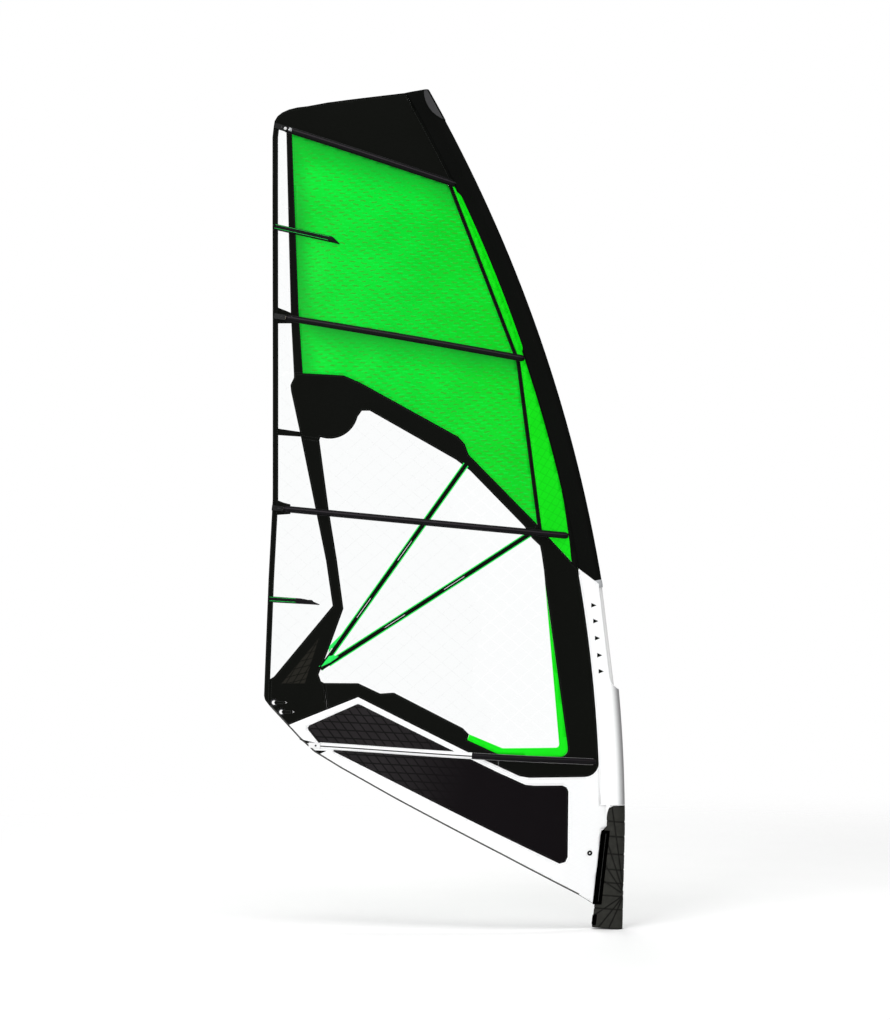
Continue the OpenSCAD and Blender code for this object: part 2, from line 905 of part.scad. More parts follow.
module mast_tip_plug() {
    p = bend_at(mast_tip_angle);
    color("#202020") upright() translate([p[0], p[1], 0]) rotate([-90, 0, mast_tip_angle])
        translate([0, 0, 0.2]) cylinder(14, mast_tip_r, mast_tip_r - 2, $fn = 48);
}

// ---- mast extension ----

module extension_tube() {
    color(steel) translate([0, 0, tube_z]) difference() {
        cylinder(tube_l, tube_r, tube_r, $fn = 72);
        translate([0, 0, -1]) cylinder(tube_l + 2, tube_r - tube_wall, tube_r - tube_wall, $fn = 72);
    }
}

// A cheek plate or block outline around an axle, seen from the side
module sheave_cheeks(centre, top, bottom) {
    for (side = [-1, 1])
        translate([centre[0], side * (2 * sheave_y + cheek_t / 2), centre[1]]) rotate([90, 0, 0])
            translate([0, 0, -cheek_t / 2]) linear_extrude(cheek_t) difference() {
                union() {
                    circle(sheave_r, $fn = 72);
                    translate([-8, bottom]) square([16, top - bottom]);
                }
                circle(axle_r + running_gap, $fn = 48);
            }
}

module extension_base() {
    color("#202020") difference() {
        union() {
            cylinder(base_h, base_r, base_r, $fn = 72);
            cylinder(plug_h, tube_r - tube_wall - 0.1, tube_r - tube_wall - 0.1, $fn = 72);
            translate([-arm_reach, -arm_w / 2, 0]) cube([arm_reach - 10, arm_w, base_h]);
            sheave_cheeks(extension_sheave_c, 2, -24);
        }
        translate([0, 0, -1]) cylinder(socket_depth + 1, socket_r, socket_r, $fn = 72);
    }
}

module extension_collar() {
    color("#3a3a3a") translate([0, 0, collar_z]) difference() {
        cylinder(collar_h, collar_r, collar_r, $fn = 72);
        translate([0, 0, -1]) cylinder(collar_h + 2, tube_r + 0.1, tube_r + 0.1, $fn = 72);
        translate([18, 0, collar_h / 2]) rotate([0, 90, 0])
            cylinder(20, button_r + running_gap, button_r + running_gap, $fn = 48);
    }
}

module release_button() {
    color("#c02020") translate([button_x, 0, collar_z + collar_h / 2]) rotate([0, 90, 0])
        cylinder(button_l, button_r, button_r, $fn = 48);
}

// A grooved wheel that turns across the boat
module sheave(centre, y) {
    translate([centre[0], y, centre[1]]) rotate([90, 0, 0]) rotate_extrude($fn = 90)
        polygon([
            [axle_r + running_gap, -sheave_w / 2], [sheave_r - 1, -sheave_w / 2],
            [sheave_r - 3.5, -line_r * 0.8], [sheave_r - 3.5, line_r * 0.8],
            [sheave_r - 1, sheave_w / 2], [axle_r + running_gap, sheave_w / 2]
        ]);
}

module extension_sheave_left() {
    color("#e0e0e0") sheave(extension_sheave_c, sheave_y);
}
module extension_sheave_right() {
    color("#e0e0e0") sheave(extension_sheave_c, -sheave_y);
}
module tack_sheave_left() {
    color("#e0e0e0") sheave(tack_sheave_c, sheave_y);
}
module tack_sheave_right() {
    color("#e0e0e0") sheave(tack_sheave_c, -sheave_y);
}

module tack_block() {
    color("#202020") union() {
        sheave_cheeks(tack_sheave_c, 24, -2);
        translate([tack_sheave_c[0] - 8, -2 * sheave_y - cheek_t, tack_sheave_c[1] + 16])
            cube([16, 4 * sheave_y + 2 * cheek_t, 8]);
    }
}

module sheave_axles() {
    color(steel) for (c = [extension_sheave_c, tack_sheave_c])
        translate([c[0], 0, c[1]]) rotate([90, 0, 0])
            cylinder(4 * sheave_y + 2 * cheek_t + 1, axle_r, axle_r, center = true, $fn = 48);
}

module downhaul_line() {
    rope_x = sheave_r - 3.5 + line_r + 0.3;
    low = extension_sheave_c[1];
    high = tack_sheave_c[1];
    color("#d9d9d9") for (y = [-sheave_y, sheave_y]) {
        for (side = [-1, 1])
            translate([tack_sheave_c[0] + side * rope_x, y, low])
                cylinder(high - low, line_r, line_r, $fn = 36);
        translate([tack_sheave_c[0], y, high]) rotate([90, 0, 0])
            rotate_extrude(angle = 180, $fn = 72) translate([rope_x, 0]) circle(line_r, $fn = 36);
        translate([tack_sheave_c[0], y, low]) rotate([90, 0, 0]) rotate([0, 0, 180])
            rotate_extrude(angle = 180, $fn = 72) translate([rope_x, 0]) circle(line_r, $fn = 36);
    }
}

head_panel();
head_patch();
upper_body_panel();
lower_body_panel();
body_seam_strip();
upper_luff_strip();
lower_luff_strip();
arch_panel();
upper_window();
lower_window();
leech_tape();
upper_leech_window();
lower_leech_window();
inner_leech_tape();
clew_arm();
black_foot_band();
luff_panel();
window_trim();
diagonal_straps();
leech_cross_strap();
white_foot_panel();
upper_foot_panel();
lower_foot_panel();
upper_luff_sleeve();
lower_luff_sleeve();
batten_pocket_1();
batten_pocket_2();
batten_pocket_3();
batten_pocket_4();
batten_1();
batten_2();
batten_3();
batten_4();
mini_batten_pockets();
mini_battens();
tensioner_housings();
tensioner_screw_1();
tensioner_screw_2();
tensioner_screw_3();
tensioner_screw_4();
clew_eyelets();
foot_eyelet();
tack_fairing();
fairing_flap();
mast_bottom();
mast_top();
mast_tip_plug();
extension_tube();
extension_base();
extension_collar();
release_button();
extension_sheave_left();
extension_sheave_right();
tack_block();
tack_sheave_left();
tack_sheave_right();
sheave_axles();
downhaul_line();
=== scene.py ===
"""Looks of a small wave windsurf sail on its mast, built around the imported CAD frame.

Metres, +Z up, +X forward towards the luff, and the belly of the sail on the -Y side.
"""

import json
import math

import bmesh
import bpy
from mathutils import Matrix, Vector


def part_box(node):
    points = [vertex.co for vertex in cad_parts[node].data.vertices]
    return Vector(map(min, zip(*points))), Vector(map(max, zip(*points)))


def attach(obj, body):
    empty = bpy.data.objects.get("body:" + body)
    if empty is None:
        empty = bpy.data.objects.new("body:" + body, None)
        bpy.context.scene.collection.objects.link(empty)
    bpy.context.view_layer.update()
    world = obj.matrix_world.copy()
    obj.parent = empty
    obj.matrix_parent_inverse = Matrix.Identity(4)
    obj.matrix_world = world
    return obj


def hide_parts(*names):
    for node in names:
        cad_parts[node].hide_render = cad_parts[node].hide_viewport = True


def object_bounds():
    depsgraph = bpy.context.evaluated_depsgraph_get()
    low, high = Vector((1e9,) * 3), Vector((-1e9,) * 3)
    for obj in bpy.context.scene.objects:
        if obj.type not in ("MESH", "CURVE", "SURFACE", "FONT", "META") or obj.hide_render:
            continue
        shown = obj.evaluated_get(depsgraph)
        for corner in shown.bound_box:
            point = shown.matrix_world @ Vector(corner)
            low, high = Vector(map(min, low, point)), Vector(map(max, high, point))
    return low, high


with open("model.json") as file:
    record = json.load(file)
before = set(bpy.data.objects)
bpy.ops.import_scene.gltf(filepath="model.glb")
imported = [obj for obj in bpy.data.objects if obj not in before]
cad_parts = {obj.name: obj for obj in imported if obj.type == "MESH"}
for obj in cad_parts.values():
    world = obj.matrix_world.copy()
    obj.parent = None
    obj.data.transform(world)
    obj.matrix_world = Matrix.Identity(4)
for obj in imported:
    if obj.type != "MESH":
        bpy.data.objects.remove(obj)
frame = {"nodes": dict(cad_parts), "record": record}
cad_low, cad_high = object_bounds()
NODES = frame["nodes"]
SLOTS = {row["node"]: row["material_slot"] for row in frame["record"]["subparts"]}
MM = 0.001

# The arc of the leading edge, and the belly of the sheet that the panels lie in
LUFF_CENTRE = (-6.0, 0.422)
LUFF_RADIUS = 6.026
BELLY_START = 0.060
BELLY_CHORD = 1.180
BELLY_DEPTH = 0.070
BELLY_POWER = 1.5
BELLY_PEAK = (BELLY_POWER / (BELLY_POWER + 2)) ** BELLY_POWER * (2 / (BELLY_POWER + 2)) ** 2

CLOTH_T = 0.8 * MM
SEAM_CLOSE = 0.32 * MM
GRID_STEP = 18 * MM
STITCH_PITCH = 9 * MM
# Heights above the sheet at which tapes and pocket flanges lie
TAPE_LIFT = 0.82 * MM
TAPE_T = 0.45 * MM
FLANGE_LIFT = 1.3 * MM
FLANGE_T = 0.5 * MM

# Batten lines as (x, z), each from its leech end to its luff end
BATTENS = [
    ((-1.369, 3.237), (-0.652, 3.011)),
    ((-1.373, 2.474), (-0.372, 2.304)),
    ((-1.385, 1.700), (-0.197, 1.5875)),
    ((-1.236, 0.740), (-0.086, 0.673)),
]
MINI_BATTENS = [((-1.373, 2.832), (-1.110, 2.772)), ((-1.398, 1.330), (-1.195, 1.319))]
STRAP_ROOT = (-1.193, 1.047)
STRAP_ENDS = [(-0.612, 1.862), (-0.350, 1.592)]
FOOT_LINE = [(-1.398, 0.899), (-1.324, 0.819), (-1.275, 0.766), (-1.216, 0.712), (-1.109, 0.647),
             (-0.883, 0.523), (-0.465, 0.306), (-0.148, 0.136)]
# The head's rear corner, as the two ends of a curve and the place that it bends towards, then the head's edge
HEAD_CORNER = [(-1.377, 3.233), (-1.378, 3.305), (-1.240, 3.316)]
HEAD_TOP = [(-1.162, 3.332), (-0.939, 3.365), (-0.753, 3.391)]
HEAD_EDGE = HEAD_TOP[1:]
SLEEVE_SPLIT = ((-0.141, 1.448), (-0.047, 1.376))
# The rear edge of the upper green panel
GREEN_LEECH = ((-1.278, 2.488), (-1.306, 3.260))
BOOM_CUTOUT = [(0.080, 0.955), (0.012, 0.967), (-0.014, 0.987), (-0.024, 1.012), (-0.030, 1.061),
               (-0.067, 1.376), (-0.067, 1.500), (0.080, 1.500)]


# ---- the sheet ----


def flat(place):
    """An (x, z) place as a point of the plane y = 0."""
    return Vector((place[0], 0, place[1]))


def curved(start, corner, end, steps=6):
    """The (x, z) places along a curve that bends towards a corner, with both ends."""
    shares = [i / steps for i in range(steps + 1)]
    bend = [((1 - t) ** 2, 2 * t * (1 - t), t**2) for t in shares]
    return [tuple(a * start[axis] + b * corner[axis] + c * end[axis] for axis in (0, 1)) for a, b, c in bend]


def arc(centre, radius, start, end, steps):
    """The (x, z) places along an arc between two angles in degrees, with both ends."""
    turns = [math.radians(start + (end - start) * i / steps) for i in range(steps + 1)]
    return [(centre[0] + radius * math.cos(t), centre[1] + radius * math.sin(t)) for t in turns]


def rounded(share):
    """Rises along a quarter circle, from 0 at 0 to 1 at 1, and is flat on either side."""
    return math.sqrt(max(1 - max(1 - share, 0.0) ** 2, 0.0))


def on_bend(distance, angle):
    """The (x, z) place at a distance behind the leading edge and an angle along its bend."""
    reach = LUFF_RADIUS - distance
    return LUFF_CENTRE[0] + reach * math.cos(angle), LUFF_CENTRE[1] + reach * math.sin(angle)


def behind_luff(x, z):
    """Distance of a place in the sheet behind the leading edge."""
    return LUFF_RADIUS - math.hypot(x - LUFF_CENTRE[0], z - LUFF_CENTRE[1])


def belly(distance):
    """Depth of the belly at a distance behind the leading edge."""
    t = min(max((distance - BELLY_START) / BELLY_CHORD, 0.0), 1.0)
    return BELLY_DEPTH / BELLY_PEAK * t**BELLY_POWER * (1 - t) ** 2


def distance_to_line(x, z, line):
    """Distance from a place to the stretch between a line's two ends."""
    start, end = Vector(line[0]), Vector(line[1])
    along = end - start
    t = min(max((Vector((x, z)) - start).dot(along) / along.length_squared, 0.0), 1.0)
    return (Vector((x, z)) - start - along * t).length


def ripple(x, z):
    """Small puckers between the battens, which die out at the battens and at the luff."""
    calm = min(distance_to_line(x, z, line) for line in BATTENS)
    fade = min(calm / 0.12, 1.0) * min(max(behind_luff(x, z) - 0.1, 0.0) / 0.15, 1.0)
    waves = math.sin(21 * x + 5 * z) * math.sin(9 * z - 3 * x) + 0.5 * math.sin(37 * x - 14 * z)
    return 1.2 * MM * fade * fade * waves


def sheet(x, z, lift=0.0):
    """The point of the sheet at (x, z), lifted towards -Y."""
    return Vector((x, -(belly(behind_luff(x, z)) + ripple(x, z) + lift), z))


# ---- materials ----


def linear(red, green, blue):
    """A colour given as it looks on a screen, 0 to 255, in the renderer's own scale."""
    channels = [c / 255 for c in (red, green, blue)]
    return [c / 12.92 if c < 0.04045 else ((c + 0.055) / 1.055) ** 2.4 for c in channels] + [1.0]


class Shader:
    """A material, with short calls for the nodes that this script uses."""

    def __init__(self, name, roughness=0.5, specular=0.2, metallic=0.0):
        self.material = bpy.data.materials.new(name)
        self.material.use_nodes = True
        self.tree = self.material.node_tree
        self.surface = self.tree.nodes["Principled BSDF"]
        self.surface.inputs["Roughness"].default_value = roughness
        self.surface.inputs["Specular IOR Level"].default_value = specular
        self.surface.inputs["Metallic"].default_value = metallic
        self.place = self.add("ShaderNodeTexCoord").outputs["Object"]
        self.x, self.y, self.z = self.add("ShaderNodeSeparateXYZ", {"Vector": self.place}).outputs

    def add(self, kind, inputs=None, **settings):
        node = self.tree.nodes.new(kind)
        for key, value in settings.items():
            setattr(node, key, value)
        for key, value in (inputs or {}).items():
            self.feed(node.inputs[key], value)
        return node

    def feed(self, socket, value):
        if isinstance(value, bpy.types.NodeSocket):
            self.tree.links.new(value, socket)
        else:
            socket.default_value = value

    def math(self, operation, *values, clamp=False):
        node = self.add("ShaderNodeMath", operation=operation, use_clamp=clamp)
        for i, value in enumerate(values):
            self.feed(node.inputs[i], value)
        return node.outputs[0]

    def mix(self, factor, a, b):
        node = self.add("ShaderNodeMix", data_type="RGBA")
        self.feed(node.inputs[0], factor)
        self.feed(node.inputs[6], a)
        self.feed(node.inputs[7], b)
        return node.outputs[2]

    def noise(self, scale, detail=2.0, stretch=(1, 1, 1)):
        scaled = self.add("ShaderNodeMapping", {"Vector": self.place, "Scale": stretch})
        inputs = {"Vector": scaled.outputs[0], "Scale": scale, "Detail": detail}
        return self.add("ShaderNodeTexNoise", inputs).outputs["Fac"]

    def ramp(self, value, low, high, out_low=0.0, out_high=1.0):
        inputs = {"Value": value, "From Min": low, "From Max": high, "To Min": out_low, "To Max": out_high}
        return self.add("ShaderNodeMapRange", inputs, interpolation_type="SMOOTHSTEP").outputs[0]

    def across(self, angle):
        """Distance across lines that lie at an angle, in degrees, in the plane of the sail."""
        a = math.radians(angle)
        return self.math("SUBTRACT", self.math("MULTIPLY", self.z, math.cos(a)),
                         self.math("MULTIPLY", self.x, math.sin(a)))

    def mottle(self, scale, detail, first, second):
        """Two screen colours in soft patches."""
        return self.mix(self.noise(scale, detail), linear(*first), linear(*second))

    def crossed(self, width, *sets):
        """1 on the lines of two sets, each with its angle and its pitch."""
        first, second = [self.lines(self.across(angle), pitch, width) for angle, pitch in sets]
        return self.math("MAXIMUM", first, second)

    def lines(self, across, pitch, width):
        """1 on thin lines that repeat at a pitch, and 0 between them."""
        saw = self.math("FRACT", self.math("DIVIDE", across, pitch))
        off_centre = self.math("ABSOLUTE", self.math("SUBTRACT", saw, 0.5))
        half = width / pitch / 2
        return self.ramp(off_centre, half * 0.6, half * 1.4, 1.0, 0.0)

    def wavy_flecks(self, length, pitch):
        """1 on short wavy dashes in uneven rows, and 0 between them."""
        bend = self.noise(0.62 / length, 2.0)
        across = self.math("ADD", self.z, self.math("MULTIPLY", bend, pitch * 2.2))
        row = self.math("FLOOR", self.math("DIVIDE", across, pitch))
        shifted = self.math("ADD", self.x, self.math("MULTIPLY", row, length * 0.381))
        wave = self.math("SINE", self.math("MULTIPLY", shifted, 2 * math.pi / length))
        dash = self.ramp(wave, -0.3, 0.4)
        broken = self.ramp(self.noise(1.7 / length, 1.0), 0.32, 0.46)
        thin = self.lines(across, pitch, pitch * 0.3)
        return self.math("MULTIPLY", thin, self.math("MULTIPLY", dash, broken))

    def below_line(self, line, reach):
        """1 just below a line through two (x, z) places, falling to 0 at a reach from it, and 0 above it."""
        a = math.atan2(line[1][1] - line[0][1], line[1][0] - line[0][0])
        offset = line[0][1] * math.cos(a) - line[0][0] * math.sin(a)
        above = self.math("SUBTRACT", self.across(math.degrees(a)), offset)
        below = self.math("MULTIPLY", above, -1)
        near = self.ramp(below, 0.0, reach, 1.0, 0.0)
        return self.math("MULTIPLY", near, self.math("GREATER_THAN", below, 0.0))

    def bump(self, height, distance):
        node = self.add("ShaderNodeBump", {"Height": height, "Distance": distance, "Strength": 1.0})
        self.feed(self.surface.inputs["Normal"], node.outputs[0])

    def mix_surfaces(self, share, first, second):
        """Puts a mixture of two shader nodes on the surface."""
        inputs = {0: share, 1: first.outputs[0], 2: second.outputs[0]}
        mixed = self.add("ShaderNodeMixShader", inputs)
        self.feed(self.tree.nodes["Material Output"].inputs["Surface"], mixed.outputs[0])

    def colour(self, value):
        self.feed(self.surface.inputs["Base Color"], value)

    def rough(self, value):
        self.feed(self.surface.inputs["Roughness"], value)


def green_film():
    """Monofilm over a scrim: short wavy flecks across it, painted glints, and painted shade beside the
    pockets and the leech.
    """
    s = Shader("green_film", 0.42, 0.08)
    cloud = s.noise(2.4, 3.0, (1.0, 1.0, 1.5))
    colour = s.mix(s.ramp(cloud, 0.35, 0.68), linear(3, 203, 40), linear(0, 222, 50))
    colour = s.mix(s.ramp(s.x, -0.95, -0.35, 0.0, 0.6), colour, linear(14, 210, 26))
    flecks = s.wavy_flecks(0.046, 0.0155)
    # Painted glints: lighter wavy dashes that stand for the scrim's reflection
    glints = s.wavy_flecks(0.055, 0.0135)
    colour = s.mix(s.math("MULTIPLY", glints, 0.45), colour, linear(0, 242, 72))
    colour = s.mix(s.math("MULTIPLY", flecks, 0.7), colour, linear(58, 160, 34))
    # Painted shade: darker green just below the two upper pockets and beside the leech film, broken up by
    # noise
    painted_shade = s.math("MAXIMUM", s.below_line(BATTENS[0], 0.15), s.below_line(BATTENS[1], 0.13))
    painted_shade = s.math("MAXIMUM", painted_shade, s.below_line(GREEN_LEECH, 0.085))
    painted_shade = s.math("MULTIPLY", painted_shade, s.ramp(s.noise(6, 2.0, (1, 1, 0.5)), 0.25, 0.7, 0.55, 1.0))
    s.colour(s.mix(painted_shade, colour, linear(16, 166, 40)))
    s.bump(s.math("ADD", flecks, s.math("MULTIPLY", cloud, 2.0)), 0.15 * MM)
    return s.material


def neon_film():
    s = Shader("neon_film", 0.4, 0.08)
    grid = s.crossed(0.0022, (-28, 0.030), (58, 0.026))
    tone = s.mottle(5, 2.0, (6, 216, 16), (12, 232, 20))
    s.colour(s.mix(s.math("MULTIPLY", grid, 0.5), tone, linear(8, 186, 16)))
    s.bump(grid, 0.2 * MM)
    return s.material


def scaled(tone, factor):
    return [min(c * factor, 255) for c in tone]


def trim_film(name, tone):
    s = Shader(name, 0.38, 0.08)
    s.colour(s.mottle(9, 3.0, tone, [min(c * 1.07 + 2, 255) for c in tone]))
    s.bump(s.noise(500, 2.0), 0.1 * MM)
    return s.material


def woven(name, tone, thread=1.8 * MM, roughness=0.6, specular=0.06, light=1.9):
    """Coated cloth with a diagonal weave."""
    s = Shader(name, roughness, specular)
    patchy = s.noise(6, 4.0)
    colour = s.mix(patchy, linear(*scaled(tone, 0.86)), linear(*scaled(tone, 1.16)))
    weave = s.crossed(thread / 2, (45, thread), (-45, thread))
    s.colour(s.mix(s.math("MULTIPLY", weave, 0.25), colour, linear(*scaled(tone, light))))
    s.rough(s.ramp(patchy, 0.3, 0.7, roughness - 0.08, roughness + 0.08))
    s.bump(weave, 0.1 * MM)
    return s.material


def sleeve_cloth():
    """Black cloth with a bright film along its rear edge, between the two upper battens."""
    low, high, corner, rear_edge = 2.33, 2.98, 0.030, 79 * MM
    s = Shader("sleeve_cloth", 0.7, 0.03)
    reach_x = s.math("SUBTRACT", s.x, LUFF_CENTRE[0])
    reach_z = s.math("SUBTRACT", s.z, LUFF_CENTRE[1])
    squares = s.math("ADD", s.math("MULTIPLY", reach_x, reach_x), s.math("MULTIPLY", reach_z, reach_z))
    distance = s.math("SUBTRACT", LUFF_RADIUS, s.math("SQRT", squares))
    above = s.math("DIVIDE", s.math("SUBTRACT", s.z, high - corner), corner, clamp=True)
    below = s.math("DIVIDE", s.math("SUBTRACT", low + corner, s.z), corner, clamp=True)
    ends = s.math("ADD", s.math("POWER", above, 3), s.math("POWER", below, 3))
    edge = s.math("ADD", s.math("MULTIPLY", ends, 0.012), rear_edge)
    bright = s.math("GREATER_THAN", distance, edge)
    s.colour(s.mix(bright, s.mottle(6, 4.0, (9, 10, 9), (13, 14, 12)), linear(9, 224, 18)))
    s.bump(s.lines(s.across(45), 1.8 * MM, 0.9 * MM), 0.1 * MM)
    return s.material


def quilted_film():
    """Dark film with a diamond scrim that fades into plain black towards the luff."""
    s = Shader("quilted_film", 0.5, 0.05)
    diamonds = s.crossed(0.0048, (-2.5, 0.032), (-52, 0.029))
    tone = s.mix(diamonds, s.mottle(11, 3.0, (29, 27, 28), (42, 39, 41)), linear(11, 11, 11))
    fade = s.ramp(s.math("SUBTRACT", s.x, s.math("MULTIPLY", s.z, 0.35)), -1.20, -0.78)
    s.colour(s.mix(fade, tone, linear(11, 7, 10)))
    s.bump(s.math("MULTIPLY", diamonds, s.math("SUBTRACT", 1.0, fade)), -0.6 * MM)
    return s.material


def white_laminate(name, painted_front_shade=0.0):
    """White cloth; a front shade share paints shade that greys what faces the leading edge."""
    s = Shader(name, 0.5, 0.12)
    fibres = s.crossed(0.0009, (30, 0.018), (-30, 0.018))
    tone = s.mottle(4, 3.0, (251, 251, 251), (246, 247, 248))
    tone = s.mix(s.math("MULTIPLY", fibres, 0.25), tone, linear(232, 233, 235))
    if painted_front_shade:
        # Painted shade: grey on the faces that turn towards the leading edge
        facing = s.add("ShaderNodeTexCoord").outputs["Normal"]
        forward = s.add("ShaderNodeSeparateXYZ", {"Vector": facing}).outputs[0]
        tone = s.mix(s.ramp(forward, -0.38, 0.95, 0.0, painted_front_shade), tone, linear(120, 120, 121))
    s.colour(tone)
    s.bump(fibres, 0.1 * MM)
    return s.material


def clear_film():
    """Thin clear film: mostly see-through, with a reflection that grows at a glancing angle."""
    s = Shader("clear_film")
    clear = s.add("ShaderNodeBsdfTransparent", {"Color": (0.985, 0.99, 0.99, 1)})
    shine = s.add("ShaderNodeBsdfGlossy", {"Color": (1, 1, 1, 1), "Roughness": 0.08})
    crease = s.add("ShaderNodeBump", {"Height": s.noise(3.5, 2.0), "Distance": 0.02, "Strength": 0.25})
    s.feed(shine.inputs["Normal"], crease.outputs[0])
    facing = s.add("ShaderNodeLayerWeight", {"Blend": 0.10}).outputs["Fresnel"]
    thread = s.crossed(0.0009, (40, 0.05), (-40, 0.05))
    share = s.math("ADD", s.math("MULTIPLY", facing, 0.45), s.math("MULTIPLY", thread, 0.08), clamp=True)
    s.mix_surfaces(share, clear, shine)
    s.tree.nodes.remove(s.surface)
    return s.material


def moulded(name, tone, roughness=0.45, grain=900.0, specular=0.3):
    s = Shader(name, roughness, specular)
    fine = s.noise(grain, 3.0)
    s.colour(s.mottle(30, 3.0, scaled(tone, 0.86), tone))
    s.rough(s.ramp(fine, 0.3, 0.7, roughness - 0.07, roughness + 0.1))
    s.bump(fine, 0.12 * MM)
    return s.material


def housing_plastic():
    """The tensioners' plastic: black, but white on the foot batten."""
    s = Shader("housing_plastic", 0.42, 0.15)
    low = s.ramp(s.z, 0.95, 1.05, 1.0, 0.0)
    s.colour(s.mix(low, s.mottle(40, 2.0, (12, 13, 12), (20, 20, 21)), linear(236, 236, 236)))
    s.bump(s.noise(700, 3.0), 0.1 * MM)
    return s.material


def metal(name, tone, roughness=0.28):
    """Metal brushed along Z."""
    s = Shader(name, roughness, 0.5, 1.0)
    brushed = s.noise(160, 4.0, (1, 1, 40))
    s.colour(s.mix(brushed, linear(*scaled(tone, 0.85)), linear(*tone)))
    s.rough(s.ramp(brushed, 0.3, 0.7, roughness - 0.08, roughness + 0.14))
    s.bump(brushed, 0.04 * MM)
    return s.material


def painted_mast():
    s = Shader("painted_mast", 0.25, 0.4)
    s.colour(s.mottle(8, 3.0, (250, 250, 249), (243, 244, 244)))
    s.bump(s.lines(s.across(8), 0.004, 0.0012), 0.04 * MM)
    return s.material


def fairing_padding():
    """Embossed padding: the mesh carries the grooves, and an attribute paints shade into them."""
    s = Shader("fairing_padding", 0.62, 0.06)
    groove_shade = s.add("ShaderNodeAttribute", attribute_name="groove_shade").outputs["Fac"]
    s.colour(s.mix(groove_shade, s.mottle(40, 5.0, (32, 32, 30), (54, 54, 50)), linear(5, 5, 4)))
    s.bump(s.noise(420, 4.0), 0.35 * MM)
    return s.material


def braided():
    s = Shader("braided_line", 0.7, 0.1)
    strands = s.crossed(0.0009, (35, 0.003), (-35, 0.003))
    s.colour(s.mix(strands, linear(216, 216, 210), linear(110, 112, 112)))
    s.bump(strands, -0.3 * MM)
    return s.material


GREEN = green_film()
NEON = neon_film()
TRIM = trim_film("trim_film", (14, 222, 20))
STRAP_EDGE = trim_film("strap_edge", (40, 222, 90))
BLACK = woven("black_cloth", (11, 12, 10), roughness=0.7, specular=0.03)
# Painted highlight: a lighter band for the upper side of the dark pockets, as if lit from above
POCKET_HIGHLIGHT = woven("pocket_painted_highlight", (42, 38, 42), 2.2 * MM, 0.42, 0.10, 1.25)
POCKET = woven("pocket_cloth", (12, 11, 13), 2.2 * MM, 0.45, 0.07)
LOZENGE = woven("grip_print", (33, 32, 28), 1.5 * MM, 0.6, 0.04, 1.2)
PATCH = woven("head_patch_cloth", (60, 60, 61), 3.2 * MM, 0.5, 0.06, 1.25)
WEBBING = woven("grey_webbing", (168, 170, 172), 1.8 * MM, 0.6, 0.1, 1.2)
GREY_EDGE = woven("foot_binding", (64, 64, 63), 1.6 * MM, 0.55, 0.08, 1.3)
QUILT = quilted_film()
WHITE = white_laminate("white_laminate")
# The sleeve's white carries painted shade towards its leading edge
WHITE_SLEEVE_SHADED = white_laminate("white_sleeve_painted_shade", 0.85)
SLEEVE = sleeve_cloth()
CLEAR = clear_film()
THREAD = moulded("dark_thread", (50, 52, 50), 0.6)
GREEN_THREAD = moulded("green_thread", (0, 150, 22), 0.6)
WHITE_THREAD = moulded("white_thread", (222, 222, 222), 0.6)
HOUSING = housing_plastic()
PLASTIC = moulded("black_plastic", (14, 15, 15), 0.45, specular=0.12)
FLAP = moulded("flap_coating", (2, 2, 2), 0.85, 500.0, 0.0)
PADDING = fairing_padding()
STEEL = metal("stainless", (206, 208, 210))
DARK_STEEL = metal("blackened_steel", (70, 70, 72), 0.36)
ALLOY = metal("anodised_tube", (188, 190, 196), 0.34)
MAST = painted_mast()
LAMINATE = moulded("batten_laminate", (196, 190, 168), 0.4)
DARK_LAMINATE = moulded("carbon_laminate", (20, 20, 21), 0.4, specular=0.1)
SHEAVE = moulded("sheave_plastic", (224, 224, 220), 0.35)
BUTTON = moulded("button_plastic", (190, 30, 30), 0.35)
COLLAR = moulded("collar_plastic", (60, 60, 62), 0.4)
LINE = braided()

# The record's slot for the finish of each piece that stands for no CAD node
SLOT_OF = {
    BLACK: "black_cloth", SLEEVE: "black_cloth", GREY_EDGE: "black_cloth", THREAD: "black_cloth",
    WHITE: "white_cloth", WHITE_THREAD: "white_cloth", WEBBING: "white_cloth", STRAP_EDGE: "neon_film",
    LOZENGE: "quilted_film", FLAP: "flap_coating", STEEL: "steel", DARK_STEEL: "steel",
}


# ---- mesh helpers ----


def finish_piece(name, surface, materials, body="rig", node=None, slot=None, smooth=True):
    """Turns a bmesh into a piece that rides on a body and, if node is given, stands for that CAD node."""
    materials = materials if isinstance(materials, list) else [materials]
    mesh = bpy.data.meshes.new(name)
    surface.to_mesh(mesh)
    surface.free()
    for polygon in mesh.polygons:
        polygon.use_smooth = smooth
    for material in materials:
        mesh.materials.append(material)
    piece = bpy.data.objects.new(name, mesh)
    bpy.context.scene.collection.objects.link(piece)
    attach(piece, body)
    if node:
        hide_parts(node)
        slot = SLOTS[node]
    slot or SLOT_OF[materials[0]]
    return piece


def border_loops(surface):
    """The closed loops of border edges of a mesh, each a list of vertices with the mesh on their left."""
    following = {}
    for edge in surface.edges:
        if len(edge.link_loops) == 1:
            corner = edge.link_loops[0]
            following.setdefault(corner.vert, []).append(corner.link_loop_next.vert)
    loops = []
    while following:
        start = here = next(iter(following))
        chain = []
        while here in following:
            chain.append(here)
            onward = following[here].pop()
            if not following[here]:
                del following[here]
            here = onward
            if here is start:
                break
        loops.append(chain)
    return loops


def offset_loop(points, amount):
    """Moves a closed outline in the plane y = 0 inwards by an amount; a negative amount moves it outwards."""
    moved = []
    for i, here in enumerate(points):
        before = (here - points[i - 1]).normalized()
        after = (points[(i + 1) % len(points)] - here).normalized()
        inward = Vector((-before.z - after.z, 0, before.x + after.x))
        moved.append(here + inward * (amount / max(inward.length_squared / 2, 0.5)))
    return moved


